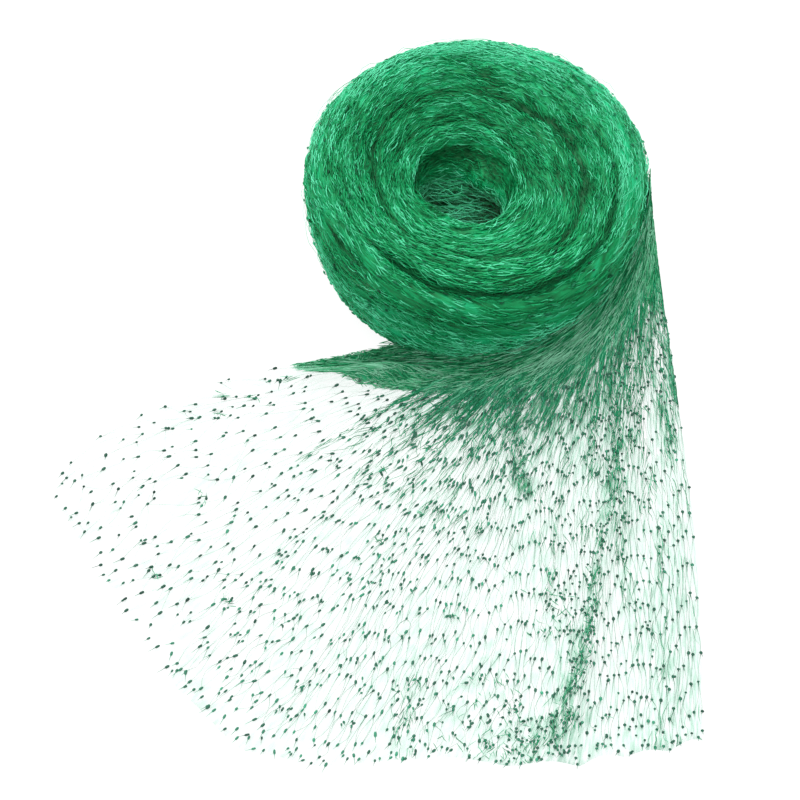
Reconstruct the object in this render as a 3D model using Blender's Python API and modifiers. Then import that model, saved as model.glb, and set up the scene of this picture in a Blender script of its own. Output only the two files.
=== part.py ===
"""Bird netting roll: a long strip of fine green netting, gathered and wound into a soft roll that stands on
its end, with the last of the strip unwound and spread as a fan over the surface in front of it.

Two solids: the wound roll, and the loose end as a thin sheet. Metres, +Z up. The origin is at the middle of
the footprint of the two together, on the surface they stand on.
"""

import math
from collections import namedtuple

import bmesh
import bpy
from mathutils import Vector

# Driving dimensions of the roll
ROLL_AXIS = Vector((0.0525, 0.1045))
BASE_RADIUS = 0.069
BULGE_RADIUS = 0.088
BULGE_HEIGHT = 0.058
CREST_HEIGHT = 0.078
RIM_ROUND = 0.018
EYE_RADIUS = 0.026
EYE_FOOT_RADIUS = 0.023
EYE_LIP_ROUND = 0.005
EYE_LIP_HEIGHT = 0.066
EYE_SHIFT = Vector((-0.006, -0.006))

# The gathered strip's folds that jut into the eye, the first of them its inner end
Fold = namedtuple("Fold", "bearing_deg height rise span_deg reach")
FOLDS = (
    Fold(50.0, 0.045, 0.020, 120.0, 0.013),
    Fold(-125.0, 0.053, 0.024, 84.0, 0.007),
)

# The turns' edges. Each row is a furrow between two turns, on a bowed line from one bearing to another; its
# places are measured out from the roll's axis along the face, over the rim and down the wall.
Furrow = namedtuple("Furrow", "from_deg to_deg from_out to_out bow depth")
FURROWS = (
    Furrow(-136.0, -22.0, 0.1080, 0.0940, 0.0050, 0.0050),
    Furrow(-131.0, -40.0, 0.0745, 0.0810, 0.0070, 0.0060),
    Furrow(-40.0, 12.0, 0.0810, 0.0660, 0.0000, 0.0030),
    Furrow(-55.0, 60.0, 0.0660, 0.0495, -0.0015, 0.0048),
    Furrow(60.0, 180.0, 0.0495, 0.0480, 0.0050, 0.0030),
    Furrow(-180.0, -108.0, 0.0480, 0.0560, -0.0045, 0.0035),
    Furrow(-100.0, -58.0, 0.0570, 0.0630, -0.0010, 0.0025),
    Furrow(-5.0, 88.0, 0.0330, 0.0430, -0.0050, 0.0028),
    Furrow(105.0, 160.0, 0.0410, 0.0380, 0.0000, 0.0025),
    Furrow(24.0, 62.0, 0.0700, 0.0750, 0.0020, 0.0018),
    Furrow(-158.0, -134.0, 0.0880, 0.0890, 0.0000, 0.0025),
    Furrow(-22.0, 90.0, 0.0940, 0.1000, 0.0030, 0.0030),
    Furrow(90.0, 224.0, 0.1000, 0.1080, 0.0000, 0.0030),
    Furrow(0.0, 250.0, 0.1240, 0.1280, 0.0000, 0.0035),
)
FURROW_INNER_WIDTH = 0.0028
FURROW_OUTER_WIDTH = 0.0060
FURROW_RUN_OUT_DEG = 12.0
FURROW_FOOT = 0.030

# How many pieces the surfaces are divided into
ROLL_STEPS = 64
WALL_STEPS = 11
RIM_STEPS = 7
FACE_STEPS = 13
EYE_STEPS = 7
FAN_COLUMNS = 56
FAN_ROWS = 20

# Driving dimensions of the loose end
NET_THICKNESS = 0.0012
NET_STANDOFF = 0.0014
DRAPE_POWER = 2.0
HEM_LENGTH = 0.430
HEM_SCALLOP = 0.0025
HEM_SCALLOPS = 13

# The roll's turns are not even: each row is a slow swell around the roll
Swell = namedtuple("Swell", "lobes bearing_deg height")
SWELLS = (
    Swell(1, -80.0, -0.0020),
    Swell(2, 35.0, 0.0012),
    Swell(3, 140.0, 0.0008),
)

# The netting's guide strands, left to right. Each leaves the roll at a bearing about its axis and a height,
# turned outwards from the tangent by splay_deg, and ends at the hem with a heading. Hem places are measured
# from the roll's axis. lead and trail are the lengths of the curve's handles, and lands is the share of
# the strand's way at which it reaches the surface.
Guide = namedtuple(
    "Guide",
    "leaves_deg leaves_height splay_deg lead hem_x hem_y hem_heading_deg trail lands",
)
GUIDES = (
    Guide(-121.0, 0.008, 40.0, 0.0585, -0.211, -0.149, -114.0, 0.066, 0.30),
    Guide(-93.0, 0.013, 4.0, 0.098, -0.209, -0.163, -130.0, 0.060, 0.38),
    Guide(-85.0, 0.017, 3.0, 0.095, -0.191, -0.187, -145.0, 0.070, 0.40),
    Guide(-79.0, 0.019, 3.0, 0.092, -0.176, -0.213, -150.0, 0.070, 0.42),
    Guide(-70.0, 0.022, 3.0, 0.090, -0.151, -0.249, -141.0, 0.070, 0.45),
    Guide(-60.0, 0.026, 2.0, 0.085, -0.116, -0.287, -130.0, 0.080, 0.46),
    Guide(-49.0, 0.031, 0.0, 0.085, -0.072, -0.298, -119.0, 0.080, 0.48),
    Guide(-39.0, 0.036, 0.0, 0.085, -0.020, -0.296, -112.0, 0.080, 0.50),
    Guide(-29.0, 0.042, 0.0, 0.085, 0.029, -0.300, -104.0, 0.080, 0.52),
    Guide(-19.0, 0.048, 2.0, 0.080, 0.056, -0.294, -98.0, 0.080, 0.55),
    Guide(-9.0, 0.053, 4.0, 0.080, 0.081, -0.291, -95.0, 0.110, 0.58),
    Guide(1.0, 0.058, 6.0, 0.088, 0.100, -0.285, -95.0, 0.150, 0.62),
)

# The loose end's main creases. Each runs along the strands from one place across the net to another, both
# as shares of the way from its left edge to its right one, over a stretch of the strands' own length.
Crease = namedtuple("Crease", "from_across to_across starts ends height width")
CREASES = (
    Crease(0.11, 0.07, 0.12, 0.32, 0.0100, 0.050),
    Crease(0.46, 0.68, 0.12, 0.56, 0.0075, 0.036),
    Crease(0.81, 0.72, 0.50, 1.00, 0.0070, 0.028),
    Crease(0.76, 0.79, 0.15, 0.42, 0.0060, 0.024),
    Crease(0.84, 0.86, 0.28, 0.60, 0.0060, 0.024),
    Crease(0.98, 0.93, 0.30, 0.90, 0.0050, 0.028),
    Crease(0.56, 0.62, 0.76, 1.00, 0.0050, 0.026),
    Crease(0.43, 0.54, 0.58, 0.72, 0.0035, 0.032),
    Crease(0.12, 0.17, 0.40, 0.85, 0.0030, 0.040),
)
CREASE_RUN_OUT = 0.2

# The largest gaps, where the gathered strands part: each is open from one share of the way across to
# another, over a stretch of the strands' length. Their sides lie on the grid's own lines.
Gap = namedtuple("Gap", "from_across to_across starts ends")
GAPS = (
    Gap(0.857, 0.875, 0.20, 0.35),
    Gap(0.893, 0.911, 0.30, 0.50),
    Gap(0.946, 0.964, 0.25, 0.40),
)

# Colours of the two pieces (linear red, green, blue)
ROLL_GREEN = (0.015, 0.235, 0.090)
NET_GREEN = (0.090, 0.360, 0.190)
NET_ROUGHNESS = 0.45


def clear_scene():
    """Takes every object out of the scene."""
    for item in list(bpy.data.objects):
        bpy.data.objects.remove(item, do_unlink=True)


def netting_material(name, colour):
    """A plain green finish for a piece of netting."""
    material = bpy.data.materials.new(name)
    material.use_nodes = True
    finish = material.node_tree.nodes["Principled BSDF"]
    finish.inputs["Base Color"].default_value = (*colour, 1.0)
    finish.inputs["Roughness"].default_value = NET_ROUGHNESS
    finish.inputs["Metallic"].default_value = 0.0
    material.diffuse_color = (*colour, 1.0)
    return material


def smooth_step(share):
    """Rises from 0 to 1 with level ends."""
    share = min(max(share, 0.0), 1.0)
    return share * share * (3.0 - 2.0 * share)


def bell(distance, width):
    """A rounded hump of height 1 that has died away at one width from its middle."""
    return math.exp(-((2.0 * distance / width) ** 2))


def quarter(share):
    """A quarter circle's rise: 0 to 1, steep first."""
    share = min(max(share, 0.0), 1.0)
    return math.sqrt(1.0 - (1.0 - share) ** 2)


def wall_radius(height):
    """The roll's outer radius at a height: it bulges near the top and draws in at its base and rim."""
    if height <= BULGE_HEIGHT:
        return BASE_RADIUS + (BULGE_RADIUS - BASE_RADIUS) * quarter(height / BULGE_HEIGHT)
    rise = (height - BULGE_HEIGHT) / (CREST_HEIGHT - BULGE_HEIGHT)
    return BULGE_RADIUS - RIM_ROUND * (1.0 - quarter(1.0 - rise))


def face_height(radius):
    """The roll's upper face: a crest inside the rim, dished towards the eye."""
    crest_radius = BULGE_RADIUS - RIM_ROUND
    inward = (crest_radius - radius) / (crest_radius - EYE_RADIUS - EYE_LIP_ROUND)
    return CREST_HEIGHT - (CREST_HEIGHT - EYE_LIP_HEIGHT) * smooth_step(inward)


def roll_profile():
    """The closed outline of the roll's cross-section, from its foot up the outside and down the eye."""
    points = []
    for step in range(WALL_STEPS):
        turn = 0.5 * math.pi * step / WALL_STEPS
        height = BULGE_HEIGHT * (0.5 * step / WALL_STEPS + 0.5 * (1.0 - math.cos(turn)))
        points.append((wall_radius(height), height))
    crest_radius = BULGE_RADIUS - RIM_ROUND
    for step in range(RIM_STEPS):
        turn = 0.5 * math.pi * step / RIM_STEPS
        rise = (CREST_HEIGHT - BULGE_HEIGHT) * math.sin(turn)
        points.append((crest_radius + RIM_ROUND * math.cos(turn), BULGE_HEIGHT + rise))
    lip_radius = EYE_RADIUS + EYE_LIP_ROUND
    for step in range(FACE_STEPS):
        radius = crest_radius + (lip_radius - crest_radius) * step / FACE_STEPS
        points.append((radius, face_height(radius)))
    points.append((lip_radius, EYE_LIP_HEIGHT))
    for step in range(EYE_STEPS + 1):
        down = step / EYE_STEPS
        radius = EYE_RADIUS + (EYE_FOOT_RADIUS - EYE_RADIUS) * down
        points.append((radius, (EYE_LIP_HEIGHT - EYE_LIP_ROUND) * (1.0 - down)))
    return points


def lie_of_surface(radius, height):
    """Where a point of the turned form lies: its distance out along the surface from the axis, and the
    outward and upward parts of the direction in which the surface faces there."""
    crest_radius = BULGE_RADIUS - RIM_ROUND
    if radius <= crest_radius:
        return radius, 0.0, 1.0
    if height < BULGE_HEIGHT:
        return crest_radius + 0.5 * math.pi * RIM_ROUND + BULGE_HEIGHT - height, 1.0, 0.0
    over = math.asin(min((radius - crest_radius) / RIM_ROUND, 1.0))
    return crest_radius + RIM_ROUND * over, math.sin(over), math.cos(over)


def furrow_depth(out, bearing):
    """How deep the deepest furrow is here. A furrow is steep on its inner side, where the turn inside it ends
    in a ledge, and runs out slowly on its outer side."""
    depth = 0.0
    for furrow in FURROWS:
        span = furrow.to_deg - furrow.from_deg
        before = 0.5 * (360.0 - span)
        turned = (math.degrees(bearing) - furrow.from_deg + before) % 360.0 - before
        share = min(max(turned / span, 0.0), 1.0)
        line = furrow.from_out + (furrow.to_out - furrow.from_out) * share
        line += 4.0 * furrow.bow * share * (1.0 - share)
        width = FURROW_INNER_WIDTH if out < line else FURROW_OUTER_WIDTH
        fade = smooth_step(0.5 + 0.5 * turned / FURROW_RUN_OUT_DEG)
        fade *= smooth_step(0.5 + 0.5 * (span - turned) / FURROW_RUN_OUT_DEG)
        depth = max(depth, furrow.depth * fade * math.exp(-(((out - line) / width) ** 2)))
    return depth


def wound(point):
    """Shapes one point of the turned form into the wound one: furrows, folds, swells, set-off eye."""
    radius = math.hypot(point.x, point.y)
    bearing = math.atan2(point.y, point.x)
    height = point.z
    out, outward, upward = lie_of_surface(radius, height)
    groove = 0.0
    if radius > EYE_RADIUS:
        groove = furrow_depth(out, bearing) * smooth_step(height / FURROW_FOOT)
    else:
        for fold in FOLDS:
            aside = math.remainder(math.degrees(bearing) - fold.bearing_deg, 360.0)
            radius -= fold.reach * bell(aside, fold.span_deg) * bell(height - fold.height, fold.rise)
    radius -= groove * outward
    height -= groove * upward
    for swell in SWELLS:
        lift = smooth_step(point.z / BULGE_HEIGHT)
        height += swell.height * lift * math.cos(swell.lobes * (bearing - math.radians(swell.bearing_deg)))
    shift = EYE_SHIFT * (1.0 - smooth_step((radius - EYE_RADIUS) / (BULGE_RADIUS - EYE_RADIUS)))
    place = Vector((radius * math.cos(bearing), radius * math.sin(bearing))) + shift + ROLL_AXIS
    return Vector((place.x, place.y, height))


def make_roll(collection):
    """The wound roll: its cross-section turned about the axis, then shaped into its turns."""
    shape = bmesh.new()
    corners = [shape.verts.new((radius, 0.0, height)) for radius, height in roll_profile()]
    rim = [shape.edges.new((corners[i - 1], corners[i])) for i in range(len(corners))]
    bmesh.ops.spin(
        shape,
        geom=corners + rim,
        axis=(0.0, 0.0, 1.0),
        cent=(0.0, 0.0, 0.0),
        angle=2.0 * math.pi,
        steps=ROLL_STEPS,
        use_merge=True,
    )
    bmesh.ops.remove_doubles(shape, verts=shape.verts, dist=0.00005)
    for corner in shape.verts:
        corner.co = wound(corner.co)
    bmesh.ops.recalc_face_normals(shape, faces=shape.faces)
    mesh = bpy.data.meshes.new("net_roll")
    shape.to_mesh(mesh)
    shape.free()
    mesh.shade_smooth()
    mesh.materials.append(netting_material("roll_green", ROLL_GREEN))
    roll = bpy.data.objects.new("net_roll", mesh)
    collection.objects.link(roll)
    return roll


def read_guides(across):
    """The guide strands' values at a share of the way across the net, on a smooth curve between rows."""
    last = len(GUIDES) - 1
    place = min(max(across, 0.0), 1.0) * last
    row = min(int(place), last - 1)
    f = place - row
    before, here, after, beyond = (GUIDES[min(max(row + k, 0), last)] for k in (-1, 0, 1, 2))
    values = []
    for a, b, c, d in zip(before, here, after, beyond):
        bend = (2.0 * a - 5.0 * b + 4.0 * c - d) * f**2 + (3.0 * b - a - 3.0 * c + d) * f**3
        values.append(0.5 * (2.0 * b + (c - a) * f + bend))
    return Guide(*values)


def crease_height(across, along):
    """How far the net stands up here because of its creases."""
    height = 0.0
    for crease in CREASES:
        share = (along - crease.starts) / (crease.ends - crease.starts)
        turned = (crease.to_across - crease.from_across) * min(max(share, 0.0), 1.0)
        aside = (across - crease.from_across - turned) * HEM_LENGTH
        fade = smooth_step((share + CREASE_RUN_OUT) / (2.0 * CREASE_RUN_OUT))
        if crease.ends < 1.0:
            fade *= smooth_step((1.0 + CREASE_RUN_OUT - share) / (2.0 * CREASE_RUN_OUT))
        height += crease.height * fade * bell(aside, crease.width)
    return height


def net_point(across, along):
    """One point of the loose end's underside.

    across runs from its left edge to its right one, and along from the roll to the hem. In plan each
    strand is a cubic curve from the roll's wall to the hem; its height falls off as it drapes.
    """
    guide = read_guides(across)
    bearing = math.radians(guide.leaves_deg)
    splayed = bearing + math.radians(guide.splay_deg)
    heading = math.radians(guide.hem_heading_deg)
    wall = wall_radius(guide.leaves_height) + NET_STANDOFF
    start = Vector((wall * math.cos(bearing), wall * math.sin(bearing)))
    lead = start + guide.lead * Vector((math.sin(splayed), -math.cos(splayed)))
    hem = Vector((guide.hem_x, guide.hem_y))
    arrival = Vector((math.cos(heading), math.sin(heading)))
    hem -= HEM_SCALLOP * abs(math.sin(math.pi * HEM_SCALLOPS * across)) * arrival
    trail = hem - guide.trail * arrival
    back = 1.0 - along
    plan = back**3 * start + 3.0 * back**2 * along * lead
    plan += 3.0 * back * along**2 * trail + along**3 * hem
    drape = guide.leaves_height * max(1.0 - along / guide.lands, 0.0) ** DRAPE_POWER
    height = drape + crease_height(across, along)
    return Vector((plan.x + ROLL_AXIS.x, plan.y + ROLL_AXIS.y, height))


def in_gap(middle):
    """Whether the middle of one of the flat grid's faces falls in a gap."""
    across = middle.x + 0.5
    along = 0.5 - middle.y
    return any(g.from_across < across < g.to_across and g.starts < along < g.ends for g in GAPS)


def make_loose_end(collection):
    """The loose end: a flat grid laid along the strands, then given the netting's thickness."""
    shape = bmesh.new()
    bmesh.ops.create_grid(shape, x_segments=FAN_COLUMNS, y_segments=FAN_ROWS, size=0.5)
    parted = [face for face in shape.faces if in_gap(face.calc_center_median())]
    bmesh.ops.delete(shape, geom=parted, context="FACES")
    for corner in shape.verts:
        corner.co = net_point(corner.co.x + 0.5, 0.5 - corner.co.y)
    mesh = bpy.data.meshes.new("loose_end")
    shape.to_mesh(mesh)
    shape.free()
    mesh.shade_smooth()
    mesh.materials.append(netting_material("net_green", NET_GREEN))
    net = bpy.data.objects.new("loose_end", mesh)
    collection.objects.link(net)
    thickness = net.modifiers.new("thickness", "SOLIDIFY")
    thickness.thickness = NET_THICKNESS
    thickness.offset = 1.0
    return net


def main():
    """Builds the bird netting roll."""
    clear_scene()
    parts = bpy.data.collections.new("bird_netting_roll")
    bpy.context.scene.collection.children.link(parts)
    make_roll(parts)
    make_loose_end(parts)


main()
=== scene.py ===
"""Looks of a bird netting roll: fine green netting, wound into a soft roll, its loose end fanned out.

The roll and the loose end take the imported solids' own forms, from the same formulas. The netting's
fineness is laid on them: gathered strands, knots and stray threads on the roll, and on the fan the mesh's
knots and threads, its gathers, and a sheer haze for thread that is finer than a single tube shows.

Metres, +Z up. A place on the roll is a run along its outline and a bearing about its axis. A place on the
fan is a share across it, from left to right, and a share along its strands, from the roll to the hem.
"""

import logging
import math
from dataclasses import dataclass
from enum import Enum
from functools import cached_property
from typing import NamedTuple

import bpy
import numpy as np
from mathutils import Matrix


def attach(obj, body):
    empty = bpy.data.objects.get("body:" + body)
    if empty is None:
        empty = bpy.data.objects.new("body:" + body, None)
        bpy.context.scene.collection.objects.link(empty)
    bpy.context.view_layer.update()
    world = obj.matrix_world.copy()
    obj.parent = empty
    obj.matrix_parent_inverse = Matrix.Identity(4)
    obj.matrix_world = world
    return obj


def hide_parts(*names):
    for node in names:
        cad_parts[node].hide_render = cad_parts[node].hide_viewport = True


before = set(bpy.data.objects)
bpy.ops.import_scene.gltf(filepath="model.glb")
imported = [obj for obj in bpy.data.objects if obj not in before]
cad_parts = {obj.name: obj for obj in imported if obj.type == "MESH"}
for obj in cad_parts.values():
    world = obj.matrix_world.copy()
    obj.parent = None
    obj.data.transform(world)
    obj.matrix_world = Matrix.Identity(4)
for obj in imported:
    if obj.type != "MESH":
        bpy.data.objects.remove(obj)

Array = np.ndarray
Colour = tuple[float, float, float]
Socket = bpy.types.NodeSocket
Piece = bpy.types.Object

LOG = logging.getLogger("bird_netting_roll")
MM = 0.001
TURN = 2.0 * math.pi
BODY = "root"
FLOOR_GAP = 0.3 * MM
TUBE_GAP = 0.05 * MM
STROKE_START = 60.0


class Slot(Enum):
    """The material slots: one for the wound netting, one for the loose netting."""

    WOUND = "wound_netting"
    LOOSE = "loose_netting"


# Curves and patterns that every sub-assembly uses


def smooth_step(share: Array) -> Array:
    """Rises from 0 to 1 with level ends: three squares less two cubes of the share, cut off at 0 and 1."""
    share = np.clip(share, 0.0, 1.0)
    return share * share * (3.0 - 2.0 * share)


def bell(distance: Array, width: float) -> Array:
    """A rounded hump of height 1: e to minus the square of twice the distance over the width."""
    return np.exp(-((2.0 * distance / width) ** 2))


def quarter(share: Array) -> Array:
    """A quarter circle's rise from 0 to 1, steep first: the root of one less the square of what is left."""
    return np.sqrt(1.0 - (1.0 - np.clip(share, 0.0, 1.0)) ** 2)


def mix(first: Array | float, second: Array | float, share: Array) -> Array:
    """Goes from the first value to the second: the first plus a share of their difference."""
    return first + (second - first) * share


def aside(bearing: Array, middle_deg: float) -> Array:
    """How many degrees each bearing lies aside of a middle one, by the shorter way round."""
    return (np.degrees(bearing) - middle_deg + 180.0) % 360.0 - 180.0


def unit(vectors: Array) -> Array:
    """The vectors at length 1: each divided by its own length."""
    return vectors / np.maximum(np.linalg.norm(vectors, axis=-1, keepdims=True), 1e-12)


def look_up(table: Array, row: Array, column: Array) -> Array:
    """Reads a table between its cells: each value is the mean of four cells, weighted by nearness.

    Args:
        table: Values on a regular lattice.
        row: Places down the table, in cells.
        column: Places across the table, in cells.

    Returns:
        The values at those places.
    """
    row = np.clip(row, 0.0, table.shape[0] - 1.001)
    column = np.clip(column, 0.0, table.shape[1] - 1.001)
    top, left = np.floor(row).astype(int), np.floor(column).astype(int)
    upper = mix(table[top, left], table[top, left + 1], column - left)
    lower = mix(table[top + 1, left], table[top + 1, left + 1], column - left)
    return mix(upper, lower, row - top)


class Rise(NamedTuple):
    """A smooth rise from nothing, or a fall to nothing at its start where its width is below nothing."""

    start: float
    width: float
    height: float = 1.0

    def at(self, value: Array) -> Array:
        """How high it is at each value: its height times the smooth step of the way past its start."""
        return self.height * smooth_step((value - self.start) / self.width)


class Hump(NamedTuple):
    """A bell-shaped hump."""

    middle: float
    width: float
    height: float = 1.0

    def at(self, value: Array) -> Array:
        """How high it is at each value: its height times the bell of the way from its middle."""
        return self.height * bell(value - self.middle, self.width)

    def about(self, bearing: Array) -> Array:
        """How high it is at each bearing, where its middle and its width are in degrees."""
        return self.height * bell(aside(bearing, self.middle), self.width)


class Curve(NamedTuple):
    """Values at some places, with straight lines between them."""

    places: tuple[float, ...]
    values: tuple[float, ...]

    def at(self, place: Array) -> Array:
        """The value at each place."""
        return np.interp(place, self.places, self.values)


@dataclass(frozen=True)
class Grain:
    """A smooth random pattern, from -1 to 1, on a lattice that repeats."""

    seed: int
    rows: int = 61
    columns: int = 67

    @cached_property
    def lattice(self) -> Array:
        """The random values at the lattice's corners."""
        return np.random.default_rng(self.seed).uniform(-1.0, 1.0, (self.rows, self.columns))

    def read(self, down: Array, across: Array) -> Array:
        """The pattern at some places: a smoothed mix of each place's four corners.

        Args:
            down: Places down the lattice, in cells.
            across: Places across the lattice, in cells.

        Returns:
            The pattern's values.
        """
        down, across = np.broadcast_arrays(down, across)
        row, column = np.floor(down).astype(int), np.floor(across).astype(int)
        fall, shift = smooth_step(down - row), smooth_step(across - column)
        row, column = row % self.rows, column % self.columns
        below, beside = (row + 1) % self.rows, (column + 1) % self.columns
        upper = mix(self.lattice[row, column], self.lattice[row, beside], shift)
        lower = mix(self.lattice[below, column], self.lattice[below, beside], shift)
        return mix(upper, lower, fall)

    def around(self, down: Array, bearing: Array) -> Array:
        """The pattern with its columns laid once round an axis."""
        return self.read(down, self.columns * bearing / TURN)

    def strokes(self, way: Array, rng: np.random.Generator) -> Array:
        """Strokes along threads: each thread reads a column of its own, from a chance place down it."""
        return self.read(way + STROKE_START * rng.random((len(way), 1)), np.arange(len(way))[:, None])


RIDGES = Grain(11, columns=48)
BROAD_RIDGES = Grain(12, columns=22)
LEANS = Grain(21, columns=30)
PATCHES = Grain(22, columns=20)
ROLL_STROKES = Grain(23)
FAN_STROKES = Grain(24)
FLOW = Grain(25, columns=27)
FAN_MOTTLE = Grain(26)
LAYERS = Grain(27, columns=11)
LINE_WANDER = Grain(28, columns=40)
NET_JITTER = Grain(51)
ROW_SWAY = Grain(62)
PACKED_EDGE = Grain(63)
HAZE_MOTTLE = Grain(64)
VEIL_MOTTLE = Grain(65)
TANGLE_SWAY = Grain(75)


# Surfaces


@dataclass(frozen=True)
class Surface:
    """A mesh as arrays: points, faces as corner lists, and each point's tone, from dark, 0, to light, 1."""

    points: Array
    faces: tuple[Array, ...]
    tone: Array

    def beside(self, other: "Surface") -> "Surface":
        """Both surfaces as one."""
        faces = self.faces + tuple(face + len(self.points) for face in other.faces)
        tone = np.concatenate([self.tone, other.tone])
        return Surface(np.concatenate([self.points, other.points]), faces, tone)

    def put(self, name: str, finish: "Finish", slot: Slot, cloth: Array | None = None) -> Piece:
        """Makes the surface a smooth object that rides on the roll's body.

        Args:
            name: The piece's name.
            finish: What it is dressed in.
            slot: Not used.
            cloth: A place on the cloth for each corner of each face, in metres, if the finish reads one.

        Returns:
            The object.
        """
        mesh = bpy.data.meshes.new(name)
        corners = np.concatenate([face.ravel() for face in self.faces])
        sizes = np.concatenate([np.full(len(face), face.shape[1]) for face in self.faces])
        mesh.vertices.add(len(self.points))
        mesh.vertices.foreach_set("co", self.points.astype(np.float32).ravel())
        mesh.loops.add(len(corners))
        mesh.loops.foreach_set("vertex_index", corners.astype(np.int32))
        mesh.polygons.add(len(sizes))
        mesh.polygons.foreach_set("loop_start", (np.cumsum(sizes) - sizes).astype(np.int32))
        mesh.update(calc_edges=True)
        mesh.shade_smooth()
        tone = mesh.attributes.new("tone", "FLOAT", "POINT")
        tone.data.foreach_set("value", self.tone.astype(np.float32))
        if cloth is not None:
            layer = mesh.uv_layers.new(name="cloth")
            layer.data.foreach_set("uv", cloth.astype(np.float32).ravel())
        mesh.materials.append(finish.material())
        piece = bpy.data.objects.new(name, mesh)
        bpy.context.scene.collection.objects.link(piece)
        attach(piece, BODY)
        LOG.info("%s: %d triangles", name, int((sizes - 2).sum()))
        return piece


def cells(grid: Array) -> Array:
    """The four corners of each cell of a grid, in order round it."""
    return np.stack([grid[:-1, :-1], grid[1:, :-1], grid[1:, 1:], grid[:-1, 1:]], axis=2)


def skin(points: Array, tone: Array, closed: bool) -> Surface:
    """A grid of points joined by quads.

    Args:
        points: The points, rows by columns by three.
        tone: The tone at each point.
        closed: Whether the last row is joined to the first, and the last column too.

    Returns:
        The surface.
    """
    index = np.arange(tone.size).reshape(tone.shape)
    if closed:
        index = np.pad(index, ((0, 1), (0, 1)), mode="wrap")
    return Surface(points.reshape(-1, 3), (cells(index).reshape(-1, 4),), np.clip(tone, 0.0, 1.0).ravel())


def tubes(paths: Array, radii: Array, tone: Array, sides: int = 3) -> Surface:
    """Closed tubes along paths: a ring stands square to the path at each station, and quads join the rings.

    A path that runs too low is raised, so that its tube clears the surface that the roll stands on.

    Args:
        paths: Stations, strands by stations by three.
        radii: The tube's radius at each station, strands by stations.
        tone: The tone at each station, strands by stations.
        sides: Corners of a ring.

    Returns:
        All the tubes as one surface, with their ends closed.
    """
    strands, stations = paths.shape[:2]
    height = np.maximum(paths[..., 2:], radii[..., None] + TUBE_GAP)
    paths = np.concatenate([paths[..., :2], height], axis=-1)
    ahead = unit(np.gradient(paths, axis=1))
    level = unit(np.cross(ahead, np.array([0.0, 0.0, 1.0])))
    upright = np.cross(ahead, level)
    turn = TURN * np.arange(sides) / sides
    ring = np.cos(turn)[:, None] * level[:, :, None, :] + np.sin(turn)[:, None] * upright[:, :, None, :]
    points = paths[:, :, None, :] + radii[:, :, None, None] * ring
    index = np.arange(strands * stations * sides).reshape(strands, stations, sides)
    wrap = np.concatenate([index, index[..., :1]], axis=2)
    sheath = np.stack([wrap[:, :-1, :-1], wrap[:, :-1, 1:], wrap[:, 1:, 1:], wrap[:, 1:, :-1]], axis=-1)
    caps = np.concatenate([index[:, 0, ::-1], index[:, -1]])
    tones = np.repeat(np.broadcast_to(tone, (strands, stations)).ravel(), sides)
    return Surface(points.reshape(-1, 3), (sheath.reshape(-1, 4), caps), np.clip(tones, 0.0, 1.0))


# Finishes


class Nodes:
    """A material's nodes, made one by one and joined as they are made."""

    def __init__(self, name: str) -> None:
        """Starts a material with its shader."""
        self.material = bpy.data.materials.new(name)
        self.material.use_nodes = True
        self.tree = self.material.node_tree
        self.shader = self.tree.nodes["Principled BSDF"]

    def feed(self, node: bpy.types.Node, inputs: dict[str | int, object]) -> None:
        """Sets a node's inputs, and links those that another node's socket is given for.

        Args:
            node: The node.
            inputs: A value or a socket for each input, by its name or number.
        """
        for name, value in inputs.items():
            if isinstance(value, Socket):
                self.tree.links.new(value, node.inputs[name])
            else:
                node.inputs[name].default_value = value

    def add(self, kind: str, inputs: dict[str | int, object], **settings: object) -> bpy.types.Node:
        """Adds a node.

        Args:
            kind: The node's type.
            inputs: A value or a socket for each input that is fed.
            settings: Its properties, by name.

        Returns:
            The node.
        """
        node = self.tree.nodes.new(kind)
        for name, value in settings.items():
            setattr(node, name, value)
        self.feed(node, inputs)
        return node

    def maths(self, operation: str, *terms: Socket | float, clamp: bool = True) -> Socket:
        """The outcome of a sum on sockets and numbers, held between 0 and 1 if it is clamped."""
        node = self.add("ShaderNodeMath", dict(enumerate(terms)), operation=operation, use_clamp=clamp)
        return node.outputs[0]

    def ranged(self, source: Socket, start: float, end: float, low: float = 0.0, high: float = 1.0) -> Socket:
        """The source's way from a start to an end, as a value that goes from low to high."""
        limits = {"From Min": start, "From Max": end, "To Min": low, "To Max": high}
        return self.add("ShaderNodeMapRange", {"Value": source, **limits}).outputs["Result"]

    def ramp(self, source: Socket, stops: tuple[tuple[float, Colour], ...]) -> Socket:
        """A ramp of colours.

        Args:
            source: What the ramp reads.
            stops: Places from 0 to 1, each with its colour.

        Returns:
            The ramp's colour.
        """
        node = self.add("ShaderNodeValToRGB", {"Fac": source})
        elements = node.color_ramp.elements
        for place, _ in stops[2:]:
            elements.new(place)
        for element, (place, colour) in zip(elements, stops):
            element.position = place
            element.color = (*colour, 1.0)
        return node.outputs["Color"]

    def streaks(self, source: Socket, scale: Colour, detail: float) -> Socket:
        """A noise that is drawn out along one way.

        Args:
            source: The coordinates.
            scale: How often it varies along each axis, to the metre.
            detail: How many finer layers it has.

        Returns:
            The noise.
        """
        mapping = self.add("ShaderNodeMapping", {"Vector": source, "Scale": scale})
        fed = {"Vector": mapping.outputs["Vector"], "Scale": 1.0, "Detail": detail}
        return self.add("ShaderNodeTexNoise", fed).outputs["Fac"]


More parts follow.
